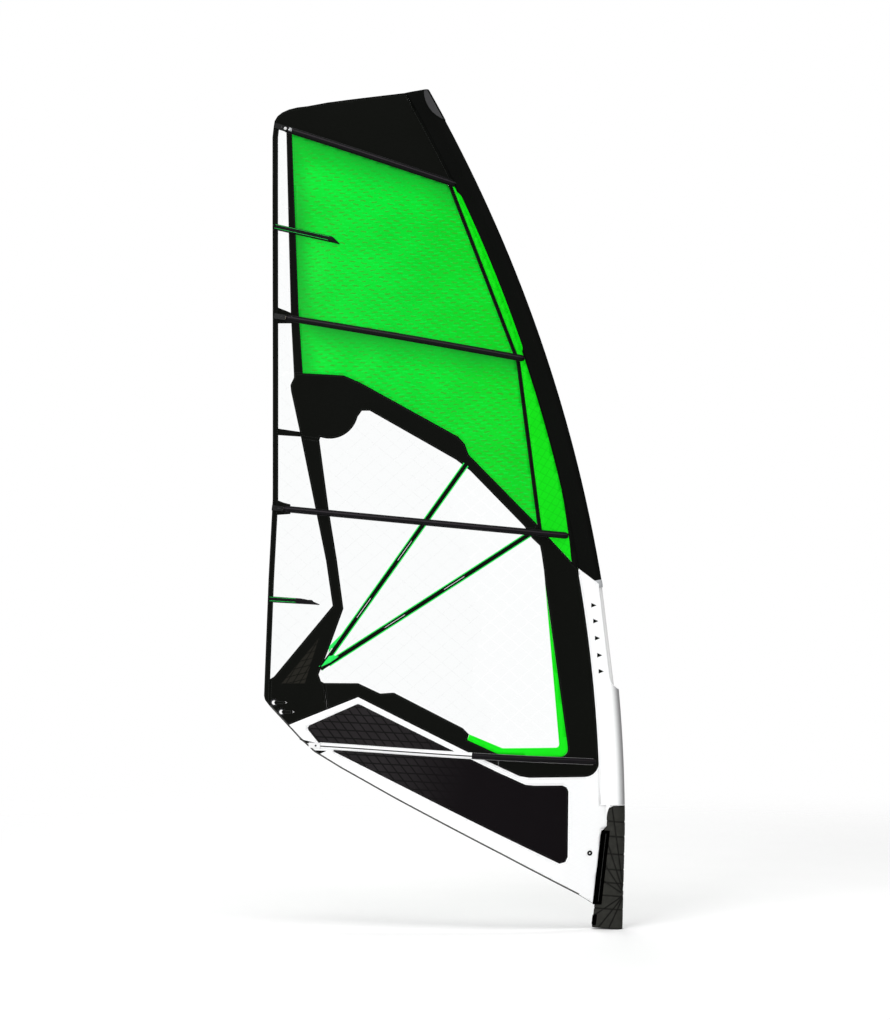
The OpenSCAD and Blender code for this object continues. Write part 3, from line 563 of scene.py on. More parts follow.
def resample(points, pitch):
    """Evenly spaced (place, direction) pairs round a closed line of points."""
    spots = []
    left = 0.0
    for a, b in zip(points, points[1:] + points[:1]):
        span = (b - a).length
        if span < 1e-9:
            continue
        along = (b - a) / span
        while left <= span:
            spots.append((a + along * left, along))
            left += pitch
        left -= span
    return spots


def flat_outline(node):
    """The outline of a CAD panel as flat faces in the plane y = 0, which face -Y."""
    outline = bmesh.new()
    outline.from_mesh(NODES[node].data)
    hidden = [face for face in outline.faces if face.normal.y > -0.6]
    bmesh.ops.delete(outline, geom=hidden, context="FACES")
    for vertex in outline.verts:
        vertex.co.y = 0.0
    bmesh.ops.remove_doubles(outline, verts=outline.verts, dist=0.02 * MM)
    bmesh.ops.dissolve_limit(outline, angle_limit=math.radians(0.5), verts=outline.verts, edges=outline.edges)
    return outline


def split(mesh, place, normal, **cleared):
    """Cuts a mesh along a plane, and can clear what lies on one side of it."""
    geometry = mesh.verts[:] + mesh.edges[:] + mesh.faces[:]
    bmesh.ops.bisect_plane(mesh, geom=geometry, dist=1e-6, plane_co=place, plane_no=normal, **cleared)


def lay_on_sheet(mesh, height):
    """Cuts a flat mesh along a square grid, so that it can bend, and lays it at a height above the sheet."""
    for axis in (0, 2):
        places = [v.co[axis] for v in mesh.verts]
        normal = Vector((axis == 0, 0, axis == 2))
        for i in range(math.ceil(min(places) / GRID_STEP), math.floor(max(places) / GRID_STEP) + 1):
            split(mesh, normal * i * GRID_STEP, normal)
    for vertex in mesh.verts:
        vertex.co = sheet(vertex.co.x, vertex.co.z, height)


def thicken(surface, amount):
    """Gives a surface that faces -Y a second face, amount behind it, and closes the border."""
    border = [edge.link_loops[0] for edge in surface.edges if len(edge.link_loops) == 1]
    sides = [(c.vert, c.link_loop_next.vert, c.face.material_index) for c in border]
    twin = {v: surface.verts.new(v.co + Vector((0, amount, 0))) for v in surface.verts[:]}
    for face in surface.faces[:]:
        surface.faces.new([twin[v] for v in reversed(face.verts)]).material_index = face.material_index
    for a, b, index in sides:
        surface.faces.new([b, a, twin[a], twin[b]]).material_index = index


def quads(mesh, rows, closed=True, paint=None):
    """Faces between rows of vertices; paint gives a face's material from its row and its place in the row."""
    for i, (low, high) in enumerate(zip(rows, rows[1:])):
        for j in range(len(low) if closed else len(low) - 1):
            k = (j + 1) % len(low)
            face = mesh.faces.new([low[j], low[k], high[k], high[j]])
            face.material_index = paint(i, j) if paint else 0


def loft(rings, paint=None, close_ends=True):
    """A skin over rings of points."""
    skin = bmesh.new()
    rows = [[skin.verts.new(point) for point in ring] for ring in rings]
    quads(skin, rows, paint=paint)
    if close_ends:
        skin.faces.new(rows[0][::-1])
        skin.faces.new(rows[-1])
    bmesh.ops.recalc_face_normals(skin, faces=skin.faces)
    return skin


def stations(path, pitch):
    """(place, direction, left) along a line of (x, z) places, with mitred corners and both ends kept."""
    points = [flat(place) for place in path]
    spots = []
    for a, b in zip(points, points[1:]):
        parts = max(1, round((b - a).length / pitch))
        spots += [a.lerp(b, k / parts) for k in range(parts)]
    spots.append(points[-1])
    found = []
    for i, here in enumerate(spots):
        before = (here - spots[i - 1]).normalized() if i else (spots[1] - here).normalized()
        after = (spots[i + 1] - here).normalized() if i + 1 < len(spots) else before
        left = Vector((-before.z - after.z, 0, before.x + after.x))
        found.append((here, (before + after).normalized(), left / max(left.length_squared / 2, 0.5)))
    return found


def along_sheet(name, path, profile, materials, node=None, paint=None, pitch=14 * MM):
    """A closed strip on the sheet: profile gives its ring of (across, height) at a distance along."""
    spots = stations(path, pitch)
    lengths = [0.0]
    for a, b in zip(spots, spots[1:]):
        lengths.append(lengths[-1] + (b[0] - a[0]).length)
    rings = []
    for (here, _, left), distance in zip(spots, lengths):
        places = [(here + left * across, height) for across, height in profile(distance, lengths[-1])]
        rings.append([sheet(place.x, place.z, height) for place, height in places])
    return finish_piece(name, loft(rings, paint), materials, node=node)


def ribbon(name, path, low, high, lift, thickness, material, node=None, pitch=14 * MM):
    """A flat strip with softly rounded edges, between two distances left of a line."""
    round_off = min(thickness * 0.6, (high - low) / 4)
    ring = [(low, lift), (low, lift + thickness * 0.6), (low + round_off, lift + thickness),
            (high - round_off, lift + thickness), (high, lift + thickness * 0.6), (high, lift)]
    return along_sheet(name, path, lambda distance, total: ring, material, node=node, pitch=pitch)


def along_line(line, start, end):
    """The stretch of a line between two distances from its first point."""
    a, b = Vector(line[0]), Vector(line[1])
    span = (b - a).length
    return [tuple(a.lerp(b, start / span)), tuple(a.lerp(b, end / span))]


def flat_face(corners):
    """A mesh of one face with (x, z) corners, in the plane y = 0 and facing -Y."""
    mesh = bmesh.new()
    face = mesh.faces.new([mesh.verts.new(flat(corner)) for corner in corners])
    face.normal_update()
    if face.normal.y > 0:
        face.normal_flip()
    return mesh


def patch(name, corners, material, lift=TAPE_LIFT, thickness=TAPE_T, node=None):
    """A flat patch with (x, z) corners, laid on the sheet."""
    cloth = flat_face(corners)
    lay_on_sheet(cloth, lift + thickness)
    thicken(cloth, thickness)
    return finish_piece(name, cloth, material, node=node)


def round_cord(name, points, radius, material, node=None, sides=8, braid=0.0):
    """A round cord along a closed line of points; braid gives it the ridges of a plaited rope."""
    rings = []
    across = None
    for i, here in enumerate(points):
        along = (points[(i + 1) % len(points)] - points[i - 1]).normalized()
        across = across or along.orthogonal()
        across = (across - along * across.dot(along)).normalized()
        up = along.cross(across)
        ring = []
        for j in range(sides):
            turn = 2 * math.pi * j / sides
            ridge = 1 + braid * math.sin(4 * turn + i * 1.3) * math.sin(4 * turn - i * 1.3)
            ring.append(here + (across * math.cos(turn) + up * math.sin(turn)) * radius * ridge)
        rings.append(ring)
    skin = loft(rings + rings[:1], close_ends=False)
    bmesh.ops.remove_doubles(skin, verts=skin.verts, dist=1e-7)
    return finish_piece(name, skin, material, node=node)


# ---- panels ----


def panel(node, material, lift=0.0, thickness=CLOTH_T, thread=None, inset=6 * MM):
    """A cloth or film panel on the smooth sheet, in place of a CAD panel, with stitches inside its edge."""
    outline = flat_outline(node)
    loops = border_loops(outline)
    if thread:
        places = []
        for loop in loops:
            inner = offset_loop([v.co.copy() for v in loop], inset)
            places += resample(inner, STITCH_PITCH)
        stitches(node + "_stitches", places, lift + thickness, thread)
    for loop in loops:
        for vertex, moved in zip(loop, offset_loop([v.co.copy() for v in loop], -SEAM_CLOSE)):
            vertex.co = moved
    lay_on_sheet(outline, lift + thickness)
    thicken(outline, thickness)
    return finish_piece(node + "_cloth", outline, material, node=node)


def stitches(name, places, lift, thread):
    """Short raised threads that lie along the sheet."""
    length, width, height = 4.5 * MM, 1.1 * MM, 0.35 * MM
    threads = bmesh.new()
    ring = [(-0.5, -0.3), (-0.3, 0.8), (0.3, 0.8), (0.5, -0.3)]
    for place, along in places:
        left = Vector((-along.z, 0, along.x))
        ends = []
        for end in (-0.5, 0.5):
            spots = [(place + along * end * length + left * across * width, rise) for across, rise in ring]
            ends.append([threads.verts.new(sheet(s.x, s.z, lift + rise * height)) for s, rise in spots])
        threads.faces.new(ends[0][::-1])
        threads.faces.new(ends[1])
        quads(threads, ends)
    bmesh.ops.recalc_face_normals(threads, faces=threads.faces)
    return finish_piece(name, threads, thread, slot="black_cloth", smooth=False)


def all_panels():
    for node, material in (
        ("upper_body_panel", GREEN), ("lower_body_panel", GREEN), ("upper_luff_strip", NEON),
        ("lower_luff_strip", NEON), ("window_trim", TRIM),
    ):
        panel(node, material, thread=GREEN_THREAD)
    for node in ("head_panel", "arch_panel", "clew_arm", "black_foot_band", "luff_panel"):
        panel(node, BLACK, thread=THREAD)
    for node in ("body_seam_strip", "inner_leech_tape"):
        panel(node, BLACK, thread=THREAD, inset=3 * MM)
    panel("leech_tape", BLACK, lift=-CLOTH_T / 2, thickness=2 * CLOTH_T, thread=THREAD, inset=4 * MM)
    for node in ("upper_window", "lower_window", "upper_leech_window", "lower_leech_window"):
        panel(node, CLEAR)
    panel("white_foot_panel", WHITE, thread=WHITE_THREAD)
    for node in ("upper_foot_panel", "lower_foot_panel"):
        panel(node, QUILT, thread=THREAD)
    cross_strap = [(-1.368, 2.021), (-1.268, 2.006), (-1.268, 1.987), (-1.368, 1.994)]
    patch("leech_cross_strap_cloth", cross_strap, BLACK, node="leech_cross_strap")


# ---- straps, tapes and trims ----


def diagonal_straps():
    """Two black straps with bright edges and short pale dashes, from the clew arm over the window."""
    core, edge, dash, dash_l = 8.2 * MM, 12.6 * MM, 1.1 * MM, 97 * MM
    dash_lift, dash_t = TAPE_LIFT + TAPE_T * 0.9, 0.2 * MM
    # For each strap: where its left and right bright edges start, where both end, and where its dashes start
    layout = [((98 * MM, 2 * MM), 1.016, (0.256, 0.541)), ((2 * MM, 40 * MM), 1.008, (0.312, 0.597))]
    for i, (edge_starts, edge_end, dash_starts) in enumerate(layout):
        line = (STRAP_ROOT, STRAP_ENDS[i])
        name = f"diagonal_strap_{i + 1}"
        whole = along_line(line, 2 * MM, edge_end + 2 * MM)
        ribbon(name, whole, -core, core, TAPE_LIFT, TAPE_T, BLACK, node="diagonal_straps")
        for start, side, low, high in zip(edge_starts, ("left", "right"), (core, -edge), (edge, -core)):
            bright = along_line(line, start, edge_end)
            ribbon(f"{name}_{side}_edge", bright, low, high, TAPE_LIFT, TAPE_T * 0.8, STRAP_EDGE)
        for j, start in enumerate(dash_starts):
            pale = along_line(line, start, start + dash_l)
            ribbon(f"{name}_dash_{j + 1}", pale, -dash, dash, dash_lift, dash_t, WHITE_THREAD)
    wedges = [[(-1.190, 1.056), (-1.152, 1.074), (-1.118, 1.098), (-1.136, 1.104), (-1.158, 1.100)],
              [(-1.159, 1.112), (-1.108, 1.189), (-1.156, 1.140)]]
    for i, corners in enumerate(wedges):
        patch(f"strap_wedge_{i + 1}", corners, STRAP_EDGE, TAPE_LIFT + TAPE_T, TAPE_T * 0.6)


def leech_gussets():
    """Small black patches that spread each long batten's load into the leech."""
    for i in (1, 2):
        (x, z), (far_x, far_z) = BATTENS[i]
        slope = (far_z - z) / (far_x - x)
        tape_x, end_x = x + 6 * MM, x + 72 * MM
        drop = slope * (end_x - tape_x)
        corners = [(tape_x, z + 36 * MM), (tape_x, z - 30 * MM), (end_x, z - 19 * MM + drop),
                   (end_x, z + 20 * MM + drop), (x + 44 * MM, z + 21 * MM)]
        patch(f"leech_gusset_{i + 1}", corners, BLACK)


def foot_darts():
    """Small black triangles where the foot's corner is drawn in."""
    darts = [[(-1.280, 0.766), (-1.201, 0.746), (-1.254, 0.748)],
             [(-1.226, 0.719), (-1.166, 0.717), (-1.196, 0.704)]]
    for i, corners in enumerate(darts):
        patch(f"foot_dart_{i + 1}", corners, BLACK)


def edge_bindings():
    """Folded tapes round the foot and the head, and the hem from the foot to the tack."""
    wrap, proud = 5.5 * MM, 0.7 * MM
    back, front = -0.45 * MM, CLOTH_T + 0.5 * MM
    ring = [(wrap, front), (proud, front), (-proud * 0.6, front * 0.7), (-proud * 0.6, back * 0.5),
            (proud, back), (wrap, back)]
    head_line = curved(*HEAD_CORNER) + HEAD_TOP
    along_sheet("foot_binding", FOOT_LINE, lambda distance, total: ring, GREY_EDGE)
    along_sheet("head_binding", head_line[::-1], lambda distance, total: ring, BLACK)
    tack_line = [FOOT_LINE[-1], (-0.086, 0.097)]
    ribbon("tack_hem", tack_line, -0.2 * MM, 1.6 * MM, TAPE_LIFT, 0.3 * MM, GREY_EDGE)


def luff_seams():
    """The tape over each side of the seam where the panels meet the sleeves."""
    half, behind = 2.3 * MM, 84.6 * MM
    for name, low_angle, high_angle, material in (
        ("upper_luff_seam", 9.95, 29.05, SLEEVE),
        ("lower_luff_seam", 1.05, 9.75, WHITE),
    ):
        steps = int((high_angle - low_angle) * 8)
        path = arc(LUFF_CENTRE, LUFF_RADIUS - behind, low_angle, high_angle, steps)
        for side, lift in (("", TAPE_LIFT + 0.1 * MM), ("_back", -0.9 * MM)):
            ribbon(name + side, path, -half, half, lift, 0.6 * MM, material, pitch=0.05)


def two_sided_patch(name, corners):
    """A black patch on the belly side, and the same one on the back."""
    patch(name, corners, BLACK)
    patch(name + "_back", corners, BLACK, -TAPE_T, TAPE_T * 0.9)


def luff_gusset():
    """A black gusset where the bright strip runs out beside the sleeve, and one at the arch's root."""
    # Distances behind the leading edge in millimetres, and heights
    rear = [(88, 1.77), (89, 1.724), (100, 1.560), (106, 1.497), (106.5, 1.474)]
    front = [(86, 1.455), (86, 1.56), (86, 1.66), (86, 1.77)]
    corners = []
    for distance, z in rear + front:
        x = LUFF_CENTRE[0] + math.sqrt((LUFF_RADIUS - distance * MM) ** 2 - (z - LUFF_CENTRE[1]) ** 2)
        corners.append((x, z))
    two_sided_patch("luff_gusset", corners)
    two_sided_patch("arch_gusset", [(-0.322, 1.632), (-0.312, 1.634), (-0.306, 1.604), (-0.322, 1.604)])


# ---- batten pockets ----

POCKET_HALF = 11.5 * MM
POCKET_RISE = 9.5 * MM
HOUSING_END = 43.5 * MM
DOME_STEPS = 10


def dome_ring(low, high, rise, flange=1.8 * MM):
    """A hollow pocket's section between two edges: over the outside, and back along the inside."""
    wall = 0.45 * MM
    middle, half = (low + high) / 2, (high - low) / 2
    lean = [math.sin(math.radians(90 * k / DOME_STEPS)) for k in range(-DOME_STEPS, DOME_STEPS + 1)]
    top = FLANGE_LIFT + FLANGE_T
    hollow = max(rise - wall + FLANGE_T, 0.1 * MM)
    outside = [(middle + half * u, top + rise * (1 - abs(u) ** 4)) for u in lean]
    inside = [(middle + (half - wall) * u, FLANGE_LIFT + hollow * (1 - abs(u) ** 6)) for u in lean[::-1]]
    left, right = low - flange, high + flange
    return [(left, top)] + outside + [(right, top), (right, FLANGE_LIFT)] + inside + [(left, FLANGE_LIFT)]


def across_at(j):
    """Where a face of a pocket's section is: -1 at the lower edge, 1 at the upper edge, None if inside."""
    if 1 <= j <= 2 * DOME_STEPS:
        return math.sin(math.radians(90 * (j - 0.5 - DOME_STEPS) / DOME_STEPS))
    return {0: -1, 2 * DOME_STEPS + 1: 1}.get(j)


def batten_pocket(k):
    """A tube of cloth for a batten, closed and rounded at its luff end."""
    name = f"batten_pocket_{k + 1}"
    # How far the pocket is sewn on beyond its batten line, over the sleeve's edge
    beyond = (12, 5, 8, 10)[k] * MM
    # The foot batten's pocket turns white behind one place, with a grey line that starts at another
    foot_batten = k == 3
    white_end, line_start = -0.587, -1.197
    round_l, pitch = 10 * MM, 12 * MM
    # Painted highlight: a lighter band along each dark pocket's upper side, and a thin line on the foot
    # batten's dark forward part
    highlight_low, highlight_high = (0.3, 0.46) if foot_batten else (0.1, 0.8)
    span = (Vector(BATTENS[k][1]) - Vector(BATTENS[k][0])).length
    path = along_line(BATTENS[k], HOUSING_END, span + beyond)
    spots = stations(path, pitch)

    def profile(distance, total):
        end = rounded((total - distance) / round_l)
        half = POCKET_HALF * (0.55 + 0.45 * end)
        return dome_ring(-half, half, POCKET_RISE * (0.12 + 0.88 * end))

    def paint(i, j):
        place, x = across_at(j), spots[i][0].x
        if foot_batten and x < white_end:
            centre = place is not None and -0.26 < place < 0.10
            return 3 if centre and x > line_start else 2
        return 1 if place is not None and highlight_low < place < highlight_high else 0

    along_sheet(name + "_cloth", path, profile, [POCKET, POCKET_HIGHLIGHT, WHITE, GREY_EDGE], name, paint, pitch)
    width = POCKET_HALF + 0.9 * MM
    thread = WHITE_THREAD if foot_batten else THREAD
    for side, edge in (("lower", -width), ("upper", width)):
        row = [(here + left * edge, along) for here, along, left in stations(path, 8 * MM)[:-2]]
        stitches(f"{name}_{side}_stitches", row, FLANGE_LIFT + FLANGE_T, thread)


def mini_pocket(k):
    """A short pocket at the leech that ends in a slanting point, with bright lines near its edges."""
    half, rise, pitch = 11 * MM, 7.4 * MM, 8 * MM
    # The upper pocket and then the lower: length of the point, taper, bend of the point, share with lines
    slant, taper, bend, lined = ((34 * MM, 0.0, 1.0, 0.8), (84 * MM, 3.0 * MM, 1.8, 0.5))[k]
    line = MINI_BATTENS[k]
    span = (Vector(line[1]) - Vector(line[0])).length
    spots = stations(line, pitch)

    def profile(distance, total):
        cut = max(distance - (total - slant), 0.0) / slant
        top = half - taper * distance / total - (2 * half - taper) * 0.97 * cut**bend
        return dome_ring(-half, top, rise * min(1.0, (top + half) / (1.4 * half)), flange=1.2 * MM)

    def paint(i, j):
        place = across_at(j)
        along = (spots[i][0] - spots[0][0]).length / span
        bright = place is not None and (0.68 < place < 0.9 or -0.72 < place < -0.5)
        return 1 if bright and along < lined else 0

    name = f"mini_batten_pocket_{k + 1}"
    along_sheet(name, line, profile, [POCKET, STRAP_EDGE], "mini_batten_pockets", paint, pitch)


def turned_fitting(name, line, distance, height, profile, material, slot=None):
    """A turned part on a batten's line; profile is its (radius, height) in millimetres, outwards."""
    along = (Vector(line[1]) - Vector(line[0])).normalized()
    spot = Vector(line[0]) + along * distance
    centre = Vector((spot.x, -belly(behind_luff(spot.x, spot.y)) - height, spot.y))
    axis = Vector((0, -1, 0))
    across = axis.orthogonal().normalized()
    up = axis.cross(across)
    turns = [math.radians(360 * j / 32) for j in range(32)]
    rings = []
    for radius, rise in profile:
        spokes = [(across * math.cos(t) + up * math.sin(t)) * radius * MM for t in turns]
        rings.append([centre + axis * rise * MM + spoke for spoke in spokes])
    finish_piece(name, loft(rings), material, slot=slot)


def tensioner_fittings():
    """A socket-head bolt on each tensioner, and the pale cap and buckle on the head batten's."""
    head = [(0.3, -1), (3.6, -1), (3.9, 0.2), (3.6, 1.4), (3.0, 1.8), (2.0, 1.8), (1.9, 0.4), (0.2, 0.3)]
    dome = [(0.3, -2), (6.4, -2), (6.6, 0.2), (5.6, 1.9), (3.4, 2.9), (0.2, 3.2)]
    for k, line in enumerate(BATTENS):
        turned_fitting(f"tensioner_bolt_{k + 1}", line, 25 * MM, 12.3 * MM, head, DARK_STEEL)
    turned_fitting("head_batten_cap", BATTENS[0], 41 * MM, 11.6 * MM, dome, WHITE_THREAD, "sheave_plastic")
    buckle = along_line(BATTENS[0], 54 * MM, 68 * MM)
    ribbon("head_batten_buckle", buckle, -4 * MM, 8 * MM, 11 * MM, 1.3 * MM, STEEL, pitch=4 * MM)


# ---- clew ----


def clew_details():
    """Webbing round the roller of each clew eyelet, and a small arrow beside each."""
    webbing_l, webbing_half, pitch = 42 * MM, 6.4 * MM, 4 * MM
    # Heights of the webbing's underside, its edges and its top above the sheet
    under, edge, top = 2.7 * MM, 3.2 * MM, 3.6 * MM
    narrowest = math.sqrt(0.02)

    def tongue(distance, total):
        half = webbing_half * max(rounded(min(distance, total - distance) / (5 * MM)), narrowest)
        return [(-half, under), (-half, edge), (-half * 0.8, top),
                (half * 0.8, top), (half, edge), (half, under)]

    for i, (x, z) in enumerate([(-1.380, 0.912), (-1.350, 0.874)]):
        name = f"clew_webbing_{i + 1}"
        end = x + webbing_l
        along_sheet(name, [(x + 1 * MM, z), (end, z)], tongue, BLACK, pitch=1.6 * MM)
        seam, first, last = webbing_half - 1.4 * MM, x + 12 * MM, end - 4 * MM
        rows = [[(first, z - seam), (last, z - seam)], [(first, z + seam), (last, z + seam)],
                [(last, z - seam), (last, z + seam)]]
        for j, row in enumerate(rows):
            ribbon(f"{name}_outline_{j + 1}", row, -0.5 * MM, 0.5 * MM, top, 0.3 * MM, THREAD, pitch=pitch)
        tip_x = end + 10 * MM
        arrow = [(tip_x - 7 * MM, z + 4 * MM), (tip_x, z), (tip_x - 7 * MM, z - 4 * MM)]
        stroke = 0.7 * MM
        ribbon(f"clew_arrow_{i + 1}", arrow, -stroke, stroke, TAPE_LIFT, 0.3 * MM, WHITE_THREAD, pitch=pitch)


def grip_print():
    """A triangle of raised lozenges on the clew arm, for grip."""
    corners = [(-1.196, 1.176), (-1.352, 0.988), (-1.254, 0.988)]
    gap, rise = 4.4 * MM, 0.5 * MM
    print_mesh = flat_face(corners)
    for angle, pitch in ((60, 23 * MM), (14, 25 * MM)):
        normal = Vector((-math.sin(math.radians(angle)), 0, math.cos(math.radians(angle))))
        for i in range(-12, 13):
            split(print_mesh, flat(corners[0]) + normal * pitch * i, normal)
    frames = bmesh.ops.inset_individual(print_mesh, faces=print_mesh.faces[:], thickness=gap / 2)["faces"]
    bmesh.ops.delete(print_mesh, geom=frames, context="FACES")
    for vertex in print_mesh.verts:
        vertex.co = sheet(vertex.co.x, vertex.co.z, TAPE_LIFT + rise)
    thicken(print_mesh, rise + 0.1 * MM)
    finish_piece("clew_grip_print", print_mesh, LOZENGE, smooth=False)


# ---- luff sleeves ----

# Radius of the nose, and distances of the nose and the rear seam behind the leading edge
UPPER_SLEEVE = (23 * MM, 0.0, 86 * MM)
LOWER_SLEEVE = (27 * MM, -13 * MM, 86 * MM)
SLEEVE_BOTTOM = 0.499


def sleeve_meet(shape):
    """The lean of a sleeve's straight sides, and how far back its round nose meets them."""
    nose, front, tail = shape
    lean = math.acos(nose / (tail - nose - front))
    return lean, front + nose + nose * math.cos(lean)


def sleeve_half(distance, shape):
    """Half the thickness of a sleeve at a distance behind the leading edge."""
    nose, front, tail = shape
    lean, meet = sleeve_meet(shape)
    if distance < meet:
        return math.sqrt(max(nose**2 - (distance - front - nose) ** 2, 0.0))
    return nose * math.sin(lean) * max(tail - distance, 0.0) / (tail - meet)


def sleeve_point(angle, distance, side, shape, grow=0.0):
    """A point on a sleeve at an angle along the bend; side is -1 towards -Y and 1 towards +Y."""
    x, z = on_bend(distance, angle)
    return Vector((x, side * (sleeve_half(distance, shape) + grow) - belly(distance), z))


def sleeve_skin(shape, low_angle, high_angle, step, grow=0.0):
    """The open tube of a sleeve between two angles of the bend."""
    nose, front, tail = shape
    sweep = math.pi - sleeve_meet(shape)[0]
    section = [front + nose - (nose + grow) * math.cos(sweep * i / 24) for i in range(25)]
    meet = section[-1]
    section += [meet + (tail - meet) * i / 6 for i in range(1, 7)]
    around = [(d, -1) for d in section[::-1]] + [(d, 1) for d in section[1:]]
    count = round((high_angle - low_angle) / step)
    skin = bmesh.new()
    rows = []
    for i in range(count + 1):
        angle = math.radians(low_angle + (high_angle - low_angle) * i / count)
        row = []
        for distance, side in around:
            inner = max(distance, front)
            half = sleeve_half(inner, shape)
            point = sleeve_point(angle, inner, side, shape, grow * min(1.0, half / (4 * MM)))
            out = min(distance - front, 0.0)
            pucker = math.sin(angle * 61 + side) * math.sin(angle * 23) * half / nose
            point += Vector((-out * math.cos(angle), side * 0.5 * MM * pucker, -out * math.sin(angle)))
            row.append(skin.verts.new(point))
        rows.append(row)
    quads(skin, rows, closed=False)
    bmesh.ops.remove_doubles(skin, verts=skin.verts, dist=0.01 * MM)
    return skin


def trim_by_line(skin, line, keep):
    """Cuts a skin along a line through two (x, z) places, and keeps its left (1) or its right (-1)."""
    start, end = flat(line[0]), flat(line[1])
    left = Vector((start.z - end.z, 0, end.x - start.x))
    split(skin, start, left, clear_outer=keep < 0, clear_inner=keep > 0)


def cut_out(skin, outline, keep_inside=False):
    """Cuts a hole with an (x, z) outline right through a skin, or keeps only what lies inside it."""
    for a, b in zip(outline, outline[1:] + outline[:1]):
        normal = Vector((a[1] - b[1], 0, b[0] - a[0]))
        low, high = min(a[1], b[1]) - 0.02, max(a[1], b[1]) + 0.02
        faces = [f for f in skin.faces if low < f.calc_center_median().z < high]
        corners, edges = {v for f in faces for v in f.verts}, {e for f in faces for e in f.edges}
        geometry = list(corners) + list(edges) + faces
        bmesh.ops.bisect_plane(skin, geom=geometry, dist=1e-6, plane_co=flat(a), plane_no=normal)
    gone = [f for f in skin.faces if inside_outline(f.calc_center_median(), outline) != keep_inside]
    bmesh.ops.delete(skin, geom=gone, context="FACES")


def inside_outline(point, outline):
    """Whether a point is inside an (x, z) outline, seen along Y."""
    inside = False
    for a, b in zip(outline, outline[1:] + outline[:1]):
        if (a[1] > point.z) != (b[1] > point.z):
            inside ^= point.x < a[0] + (point.z - a[1]) / (b[1] - a[1]) * (b[0] - a[0])
    return inside


def sew(name, node, skin, material, hem_material, hem_radius, wall=CLOTH_T):
    """Finishes a skin as the walled cloth that stands for a node, with a rolled hem along each border."""
    bmesh.ops.recalc_face_normals(skin, faces=skin.faces)
    for i, loop in enumerate(border_loops(skin)):
        spots = [place for place, _ in resample([v.co.copy() for v in loop], 6 * MM)]
        if len(spots) > 8:
            round_cord(f"{name}_hem_{i + 1}", spots, hem_radius, hem_material)
    add_wall(finish_piece(node + "_cloth", skin, material, node=node), wall)


def add_wall(piece, thickness):
    """Gives a skin a wall on its inside."""
    wall = piece.modifiers.new("wall", "SOLIDIFY")
    wall.thickness = thickness
    wall.offset = -1.0


def sleeves():
    """The black upper sleeve, and the pale lower one with its boom cut-out."""
    upper = sleeve_skin(UPPER_SLEEVE, 8.0, 31.0, 0.16)
    trim_by_line(upper, SLEEVE_SPLIT, 1)
    trim_by_line(upper, HEAD_EDGE, -1)
    sew("upper_sleeve", "upper_luff_sleeve", upper, SLEEVE, SLEEVE, 1.1 * MM)

    lower = sleeve_skin(LOWER_SLEEVE, 0.5, 11.0, 0.09)
    trim_by_line(lower, SLEEVE_SPLIT, -1)
    trim_by_line(lower, ((-0.4, SLEEVE_BOTTOM), (0.4, SLEEVE_BOTTOM)), 1)
    cut_out(lower, BOOM_CUTOUT)
    sew("lower_sleeve", "lower_luff_sleeve", lower, WHITE_SLEEVE_SHADED, WHITE, 1.2 * MM)


def head_patch():
    """The padded patch round the leading edge at the head, with a piped edge."""
    skin = sleeve_skin(UPPER_SLEEVE, 27.0, 31.0, 0.08, grow=1.3 * MM)
    outline = arc((-0.650, 3.385), 0.125, 90, 270, 20) + [(-0.40, 3.26), (-0.40, 3.51)]
    cut_out(skin, outline, keep_inside=True)
    trim_by_line(skin, HEAD_EDGE, -1)
    sew("head_patch", "head_patch", skin, PATCH, BLACK, 1.7 * MM, 1.0 * MM)


def head_cap():
    """A crowned piece of cloth that closes the sleeve at the head."""
    (start_x, start_z), (end_x, end_z) = HEAD_EDGE
    slope = (end_z - start_z) / (end_x - start_x)
    middle_distance, half_width = 44 * MM, 43 * MM
    rings = []
    for share, rise in ((1.0, -0.6), (0.97, 0.2), (0.8, 1.6), (0.4, 2.6), (0.06, 2.9)):
        ring = []
        for i in range(48):
            turn = 2 * math.pi * i / 48
            distance = middle_distance + half_width * share * math.cos(turn)
            side = 1 if turn < math.pi else -1
            half = sleeve_half(distance, UPPER_SLEEVE) * abs(math.sin(turn)) ** 0.15 * share
            # Steps along the head's edge to the place that lies this far behind the leading edge
            x = start_x
            for _ in range(30):
                x += (behind_luff(x, start_z + (x - start_x) * slope) - distance) * 0.8
            z = start_z + (x - start_x) * slope
            ring.append(Vector((x, side * half - belly(distance), z + rise * MM)))
        rings.append(ring)
    finish_piece("head_cap", loft(rings), BLACK)


def boom_height_marks():
    """Five small triangles on the pale sleeve, beside the boom cut-out."""
    marks = [(-0.087, 1.306), (-0.079, 1.242), (-0.072, 1.173), (-0.063, 1.104), (-0.057, 1.039)]
    corners = [(-10, 9.5), (10.5, 0), (-10, -9.5)]
    sunk, proud = 0.2 * MM, -1.1 * MM
    mesh = bmesh.new()
    for x, z in marks:
        inner, outer = [], []
        for dx, dz in corners:
            corner_x, corner_z = x + dx * MM, z + dz * MM
            distance = behind_luff(corner_x, corner_z)
            y = -sleeve_half(distance, LOWER_SLEEVE) - belly(distance)
            inner.append(mesh.verts.new((corner_x, y + sunk, corner_z)))
            outer.append(mesh.verts.new((corner_x, y + proud, corner_z)))
        mesh.faces.new(outer)
        mesh.faces.new(inner[::-1])
        quads(mesh, [inner, outer])
    bmesh.ops.recalc_face_normals(mesh, faces=mesh.faces)
    finish_piece("boom_height_marks", mesh, BLACK, smooth=False)


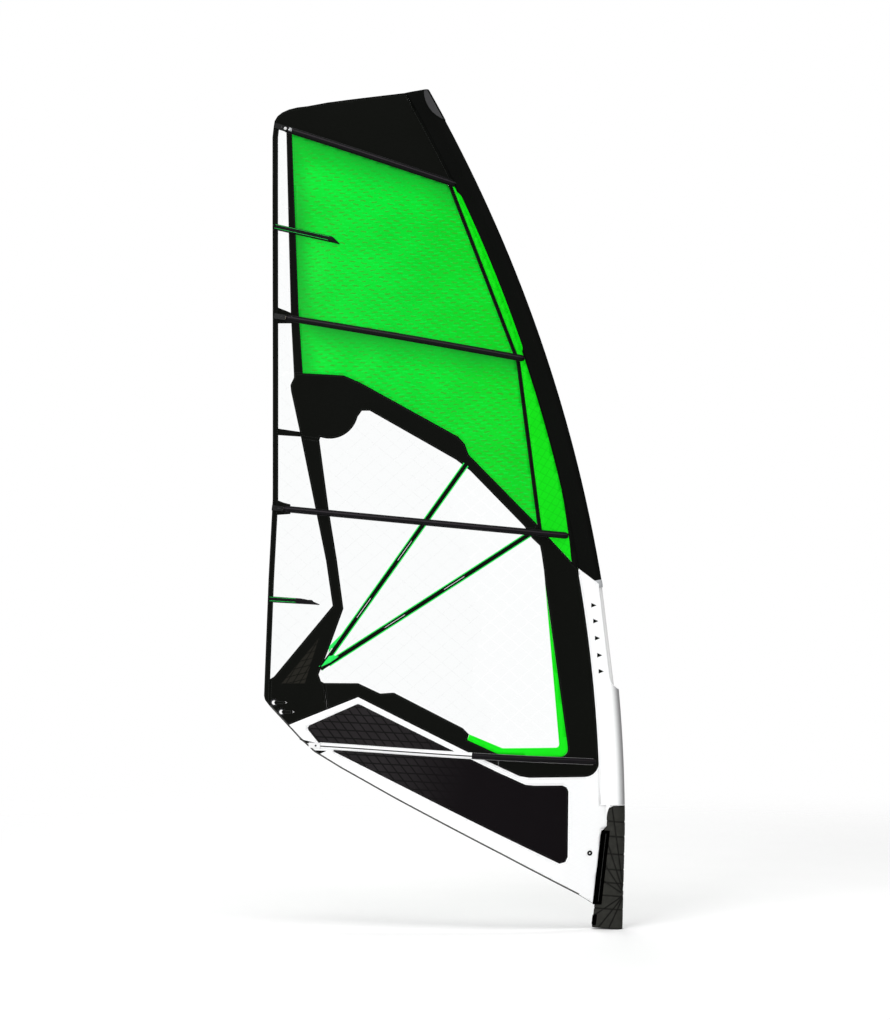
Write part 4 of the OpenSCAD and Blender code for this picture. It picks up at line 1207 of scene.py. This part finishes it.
def cutout_tab():
    """A webbing tab round the sleeve at the top of the boom cut-out."""
    nose, lift, tab_t, puff = UPPER_SLEEVE[0], 0.2 * MM, 0.7 * MM, 1.2 * MM
    rings = []
    for i in range(9):
        angle = math.radians(9.14 + 0.30 * i / 8)
        outer = tab_t + puff * math.sin(math.pi * i / 8)
        ring = []
        for turns, height in ((range(-100, 101, 10), outer), (range(100, -101, -10), 0.0)):
            for turn in turns:
                radius = nose + lift + height
                x, z = on_bend(nose - radius * math.cos(math.radians(turn)), angle)
                ring.append(Vector((x, -radius * math.sin(math.radians(turn)), z)))
        rings.append(ring)
    finish_piece("cutout_tab", loft(rings), WEBBING)


# ---- tack fairing ----

FAIRING_NOSE, FAIRING_TAIL = 30 * MM, 16 * MM
FAIRING_BOTTOM, FAIRING_TOP = -2 * MM, 496 * MM
# Height at which the fairing's rear edge steps forward
FAIRING_STEP = 400 * MM
FLAP_BOTTOM, FLAP_TOP = 97 * MM, 396 * MM


def fairing_ends(z):
    """How far aft and how far forward the fairing reaches at a height."""
    share = (z - FAIRING_BOTTOM) / (FAIRING_STEP - FAIRING_BOTTOM)
    aft = -95 * MM + 47 * MM * share
    if z > FAIRING_STEP:
        aft = -48 * MM + 14 * MM * min((z - FAIRING_STEP) / (12 * MM), 1.0)
    return aft, 30 * MM + 10 * MM * min(share, 1.0)


def fairing_shape(z):
    """The fairing's section at a height: where its two round ends are centred, and its lengths round.

    They are the centre of the tail, that of the nose, the lean of the sides, and the lengths of the
    tail's and of the side's half.
    """
    aft, front = fairing_ends(z)
    tail_x, nose_x = aft + FAIRING_TAIL, front - FAIRING_NOSE
    lean = math.acos((FAIRING_TAIL - FAIRING_NOSE) / (nose_x - tail_x))
    side_l = math.sqrt((nose_x - tail_x) ** 2 - (FAIRING_NOSE - FAIRING_TAIL) ** 2)
    return tail_x, nose_x, lean, FAIRING_TAIL * (math.pi - lean), side_l


def fairing_section(z, length, grow=0.0):
    """A point of the fairing's outside at a height, at a length round from its aft end; -Y is positive."""
    tail_x, nose_x, lean, tail_l, side_l = fairing_shape(z)
    side_turn = 2 * math.pi - lean
    s = abs(length)
    if s < tail_l:
        turn, centre, radius = math.pi + s / FAIRING_TAIL, tail_x, FAIRING_TAIL
    elif s < tail_l + side_l:
        share = (s - tail_l) / side_l
        centre = tail_x + (nose_x - tail_x) * share
        turn, radius = side_turn, FAIRING_TAIL + (FAIRING_NOSE - FAIRING_TAIL) * share
    else:
        turn, centre, radius = side_turn + (s - tail_l - side_l) / FAIRING_NOSE, nose_x, FAIRING_NOSE
    y = (radius + grow) * math.sin(turn)
    return Vector((centre + (radius + grow) * math.cos(turn), y if length >= 0 else -y, z))


def fairing_half_round(z):
    """Half the way round the fairing at a height."""
    lean, tail_l, side_l = fairing_shape(z)[2:]
    return tail_l + side_l + FAIRING_NOSE * lean


def groove_depth(x, z):
    """How deep the embossing is at a place on the fairing's side, 0 to 1."""
    levels = [78, 132, 184, 238, 301, 372, 432]
    width = 2.6 * MM
    depth = max(math.exp(-(((z - level * MM + 0.05 * x) / width) ** 2)) for level in levels)
    away = Vector((x - 36 * MM, z - 138 * MM))
    if away.length > 12 * MM:
        heading = math.degrees(math.atan2(away.y, away.x)) % 360
        for ray in (98, 108, 123, 147, 215, 232, 245):
            off = away.length * math.sin(math.radians(min(abs(heading - ray), 90)))
            depth = max(depth, math.exp(-((off / width) ** 2)))
    return depth


def tack_fairing():
    """Padding round the tack: an embossed loft, open at both ends, its top trimmed to a round corner."""
    columns, rows = 132, 190
    skin = bmesh.new()
    groove_shade = skin.verts.layers.float.new("groove_shade")
    grid = []
    for i in range(rows + 1):
        row = []
        for j in range(columns):
            around = 2 * j / columns - 1
            z = FAIRING_BOTTOM + (FAIRING_TOP - FAIRING_BOTTOM) * i / rows
            x = fairing_section(z, around * fairing_half_round(z)).x
            top = 446 * MM + 50 * MM * rounded((x + 34 * MM) / (30 * MM))
            bottom = 4 * MM - 8 * MM * (x + 95 * MM) / (130 * MM)
            z = bottom + (top - bottom) * i / rows
            x = fairing_section(z, around * fairing_half_round(z)).x
            rim = min(min(z - bottom, top - z) / (8 * MM), 1.0)
            depth = groove_depth(x, z) * min(rim * 1.5, 1.0)
            grow = -1.7 * MM * depth - 1.2 * MM * (1 - rim) ** 2
            vertex = skin.verts.new(fairing_section(z, around * fairing_half_round(z), grow))
            # Painted shade: dark by the groove's depth and at the rolled-in top and bottom edges
            vertex[groove_shade] = max(depth, 0.8 * (1 - rim) ** 3)
            row.append(vertex)
        grid.append(row)
    quads(skin, grid)
    bmesh.ops.recalc_face_normals(skin, faces=skin.faces)
    add_wall(finish_piece("tack_fairing_padding", skin, PADDING, node="tack_fairing"), 3 * MM)


def fairing_strip(name, heights, lengths, lift, thickness, body="rig", node=None, ridge=None):
    """A padded strip on the fairing's side, between two heights and two lengths round from its aft end.

    A ridge, given as a share of the width, is a pale line along a shallow channel.
    """
    height, width = heights[1] - heights[0], lengths[1] - lengths[0]
    rows, columns, edge_t = max(6, round(height / (6 * MM))), 22, 0.3 * MM
    rings = []
    for i in range(rows + 1):
        z = heights[0] + height * i / rows
        end_fade = min(i / rows, 1 - i / rows) * height / (5 * MM)
        outer, inner = [], []
        for j in range(columns + 1):
            across = j / columns
            length = lengths[0] + width * across
            puff = rounded(min(min(across, 1 - across) * width / (4 * MM), end_fade))
            channel = math.exp(-(((across - ridge) * width / (1.6 * MM)) ** 2)) if ridge else 0.0
            rise = edge_t + (thickness - edge_t) * puff * (1 - 0.35 * channel)
            outer.append(fairing_section(z, length, lift + rise))
            inner.append(fairing_section(z, length, lift))
        rings.append(outer + inner[::-1])

    def paint(i, j):
        return 1 if ridge and j == round(ridge * columns) and 1 < i < rows - 2 else 0

    finish_piece(name, loft(rings, paint), [FLAP, THREAD], body, node)


def fairing_flange():
    """The fairing's rear edge, which stands out behind the flap and rounds off at its top."""
    section = [(3.4, -10.3), (-6.6, -9.4), (-8.0, -8.6), (-6.8, -7.6), (1.5, -7.0)]
    root = section[0][0]
    rings = []
    for i in range(61):
        z = FLAP_BOTTOM + (FAIRING_STEP - FLAP_BOTTOM) * i / 60
        reach = 0.15 + 0.85 * rounded((FAIRING_STEP - z) / (10 * MM))
        aft = fairing_ends(z)[0]
        rings.append([Vector((aft + (root + (x - root) * reach) * MM, y * MM, z)) for x, y in section])
    finish_piece("fairing_rear_flange", loft(rings), FLAP)


def foot_eyelet_ring():
    """The black cord sewn round the foot eyelet."""
    low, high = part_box("foot_eyelet")
    middle = ((low.x + high.x) / 2, (low.z + high.z) / 2)
    points = [sheet(x, z, 1.7 * MM) for x, z in arc(middle, 8.4 * MM, 0, 351, 39)]
    round_cord("foot_eyelet_cord", points, 1.9 * MM, BLACK)


# ---- hard parts ----


def keep_node(node, material, bevel=0.0, segments=2):
    """Shows a CAD node as it is, with a finished material and, if asked, softened edges."""
    piece = NODES[node]
    piece.data.materials.clear()
    piece.data.materials.append(material)
    if bevel:
        soft = piece.modifiers.new("soft_edges", "BEVEL")
        soft.width = bevel
        soft.segments = segments
        soft.limit_method = "ANGLE"
        soft.angle_limit = math.radians(35)


def downhaul_line():
    """Two plaited loops over the sheaves, in place of the plain CAD loops."""
    low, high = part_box("downhaul_line")
    radius = 2 * MM
    centre_x = (low.x + high.x) / 2
    bend = (high.x - low.x) / 2 - radius
    bottom, top = low.z + radius + bend, high.z - radius - bend
    heights = [bottom + (top - bottom) * i / 120 for i in range(1, 120)]
    loop = arc((centre_x, top), bend, 0, 180, 32) + [(centre_x - bend, z) for z in heights[::-1]]
    loop += arc((centre_x, bottom), bend, 180, 360, 32) + [(centre_x + bend, z) for z in heights]
    for side, y in (("left", high.y - radius), ("right", low.y + radius)):
        points = [Vector((x, y, z)) for x, z in loop]
        round_cord(f"downhaul_line_{side}", points, radius * 0.97, LINE, "downhaul_line", 16, 0.05)


def hard_parts():
    keep_node("tensioner_housings", HOUSING, 0.9 * MM, 3)
    for k in range(1, 5):
        keep_node(f"tensioner_screw_{k}", STEEL, 0.3 * MM)
        keep_node(f"batten_{k}", LAMINATE)
    keep_node("mini_battens", DARK_LAMINATE)
    keep_node("clew_eyelets", DARK_STEEL, 0.35 * MM)
    keep_node("foot_eyelet", PLASTIC, 0.35 * MM)
    for node in ("mast_bottom", "mast_top"):
        keep_node(node, MAST)
    keep_node("mast_tip_plug", PLASTIC, 0.8 * MM)
    keep_node("extension_tube", ALLOY, 0.4 * MM)
    keep_node("extension_base", PLASTIC, 0.8 * MM, 3)
    keep_node("extension_collar", COLLAR, 1.2 * MM, 3)
    keep_node("release_button", BUTTON, 0.6 * MM)
    for side in ("left", "right"):
        keep_node(f"extension_sheave_{side}", SHEAVE, 0.5 * MM)
        keep_node(f"tack_sheave_{side}", SHEAVE, 0.5 * MM)
    keep_node("tack_block", STEEL, 0.5 * MM)
    keep_node("sheave_axles", STEEL, 0.4 * MM)


# ---- assembly ----

all_panels()
diagonal_straps()
leech_gussets()
foot_darts()
edge_bindings()
luff_seams()
luff_gusset()
for number in range(len(BATTENS)):
    batten_pocket(number)
for number in range(len(MINI_BATTENS)):
    mini_pocket(number)
tensioner_fittings()
clew_details()
grip_print()
sleeves()
head_patch()
head_cap()
boom_height_marks()
cutout_tab()
tack_fairing()
fairing_strip("fairing_flap_strip", (FLAP_BOTTOM, FLAP_TOP), (11.6 * MM, 37 * MM), 0.5 * MM, 2.5 * MM,
              "fairing_flap", "fairing_flap", 0.42)
fairing_strip("fairing_pull_tab", (12 * MM, 56 * MM), (-6 * MM, 24 * MM), -0.4 * MM, 3 * MM)
fairing_flange()
foot_eyelet_ring()
downhaul_line()
hard_parts()


# ---- stage ----

FLOOR_SIZE = 14.0
FLOOR_FADE = (2.5, 6.5)


def pale_floor():
    """A pale floor that fades out into the white surround."""
    mesh = bpy.data.meshes.new("floor")
    s = FLOOR_SIZE
    mesh.from_pydata([(-s, -s, 0), (s, -s, 0), (s, s, 0), (-s, s, 0)], [], [(0, 1, 2, 3)])
    floor = bpy.data.objects.new("floor", mesh)
    floor.location = (middle.x, 0, cad_low.z - 1 * MM)
    bpy.context.scene.collection.objects.link(floor)
    paint = Shader("floor_paint", 0.9, 0.0)
    paint.colour(paint.mottle(3, 2.0, (252, 252, 252), (249, 249, 249)))
    clear = paint.add("ShaderNodeBsdfTransparent")
    radius = paint.add("ShaderNodeVectorMath", {0: paint.place}, operation="LENGTH").outputs["Value"]
    paint.mix_surfaces(paint.ramp(radius, *FLOOR_FADE), paint.surface, clear)
    mesh.materials.append(paint.material)


def area_light(name, place, power, size=6.0):
    """A soft square lamp that faces the middle of the sail."""
    light = bpy.data.lights.new(name, "AREA")
    light.size = size
    light.energy = power
    lamp = bpy.data.objects.new(name, light)
    lamp.location = place
    lamp.rotation_euler = (middle - Vector(place)).to_track_quat("-Z", "Y").to_euler()
    bpy.context.scene.collection.objects.link(lamp)


def white_surround(seen, cast):
    """A surround that the camera sees as white, and that lights the sail more softly than that."""
    world = bpy.data.worlds.new("studio")
    world.use_nodes = True
    tree = world.node_tree
    background = tree.nodes["Background"]
    background.inputs["Color"].default_value = (1, 1, 1, 1)
    path = tree.nodes.new("ShaderNodeLightPath")
    strength = tree.nodes.new("ShaderNodeMapRange")
    strength.inputs["To Min"].default_value = cast
    strength.inputs["To Max"].default_value = seen
    tree.links.new(path.outputs["Is Camera Ray"], strength.inputs["Value"])
    tree.links.new(strength.outputs[0], background.inputs["Strength"])
    bpy.context.scene.world = world


def long_lens_camera():
    """A long lens, square-on to the belly side."""
    view_height, lens, sensor = 4.127, 110.0, 36.0
    data = bpy.data.cameras.new("camera")
    data.lens = lens
    data.sensor_width = sensor
    data.clip_end = 100.0
    camera = bpy.data.objects.new("camera", data)
    camera.location = (-0.688, -view_height * lens / sensor, 1.691)
    camera.rotation_euler = (math.radians(90), 0, 0)
    bpy.context.scene.collection.objects.link(camera)
    bpy.context.scene.camera = camera


middle = (cad_low + cad_high) / 2
pale_floor()
area_light("key", (-7.0, -11.0, 5.0), 760)
area_light("fill", (3.0, -12.0, 1.5), 210)
area_light("back", (-3.0, 11.0, 5.0), 520)
area_light("top", (-0.7, -1.0, 9.0), 560)
white_surround(1.0, 0.26)
long_lens_camera()
bpy.context.scene.view_settings.view_transform = "Standard"
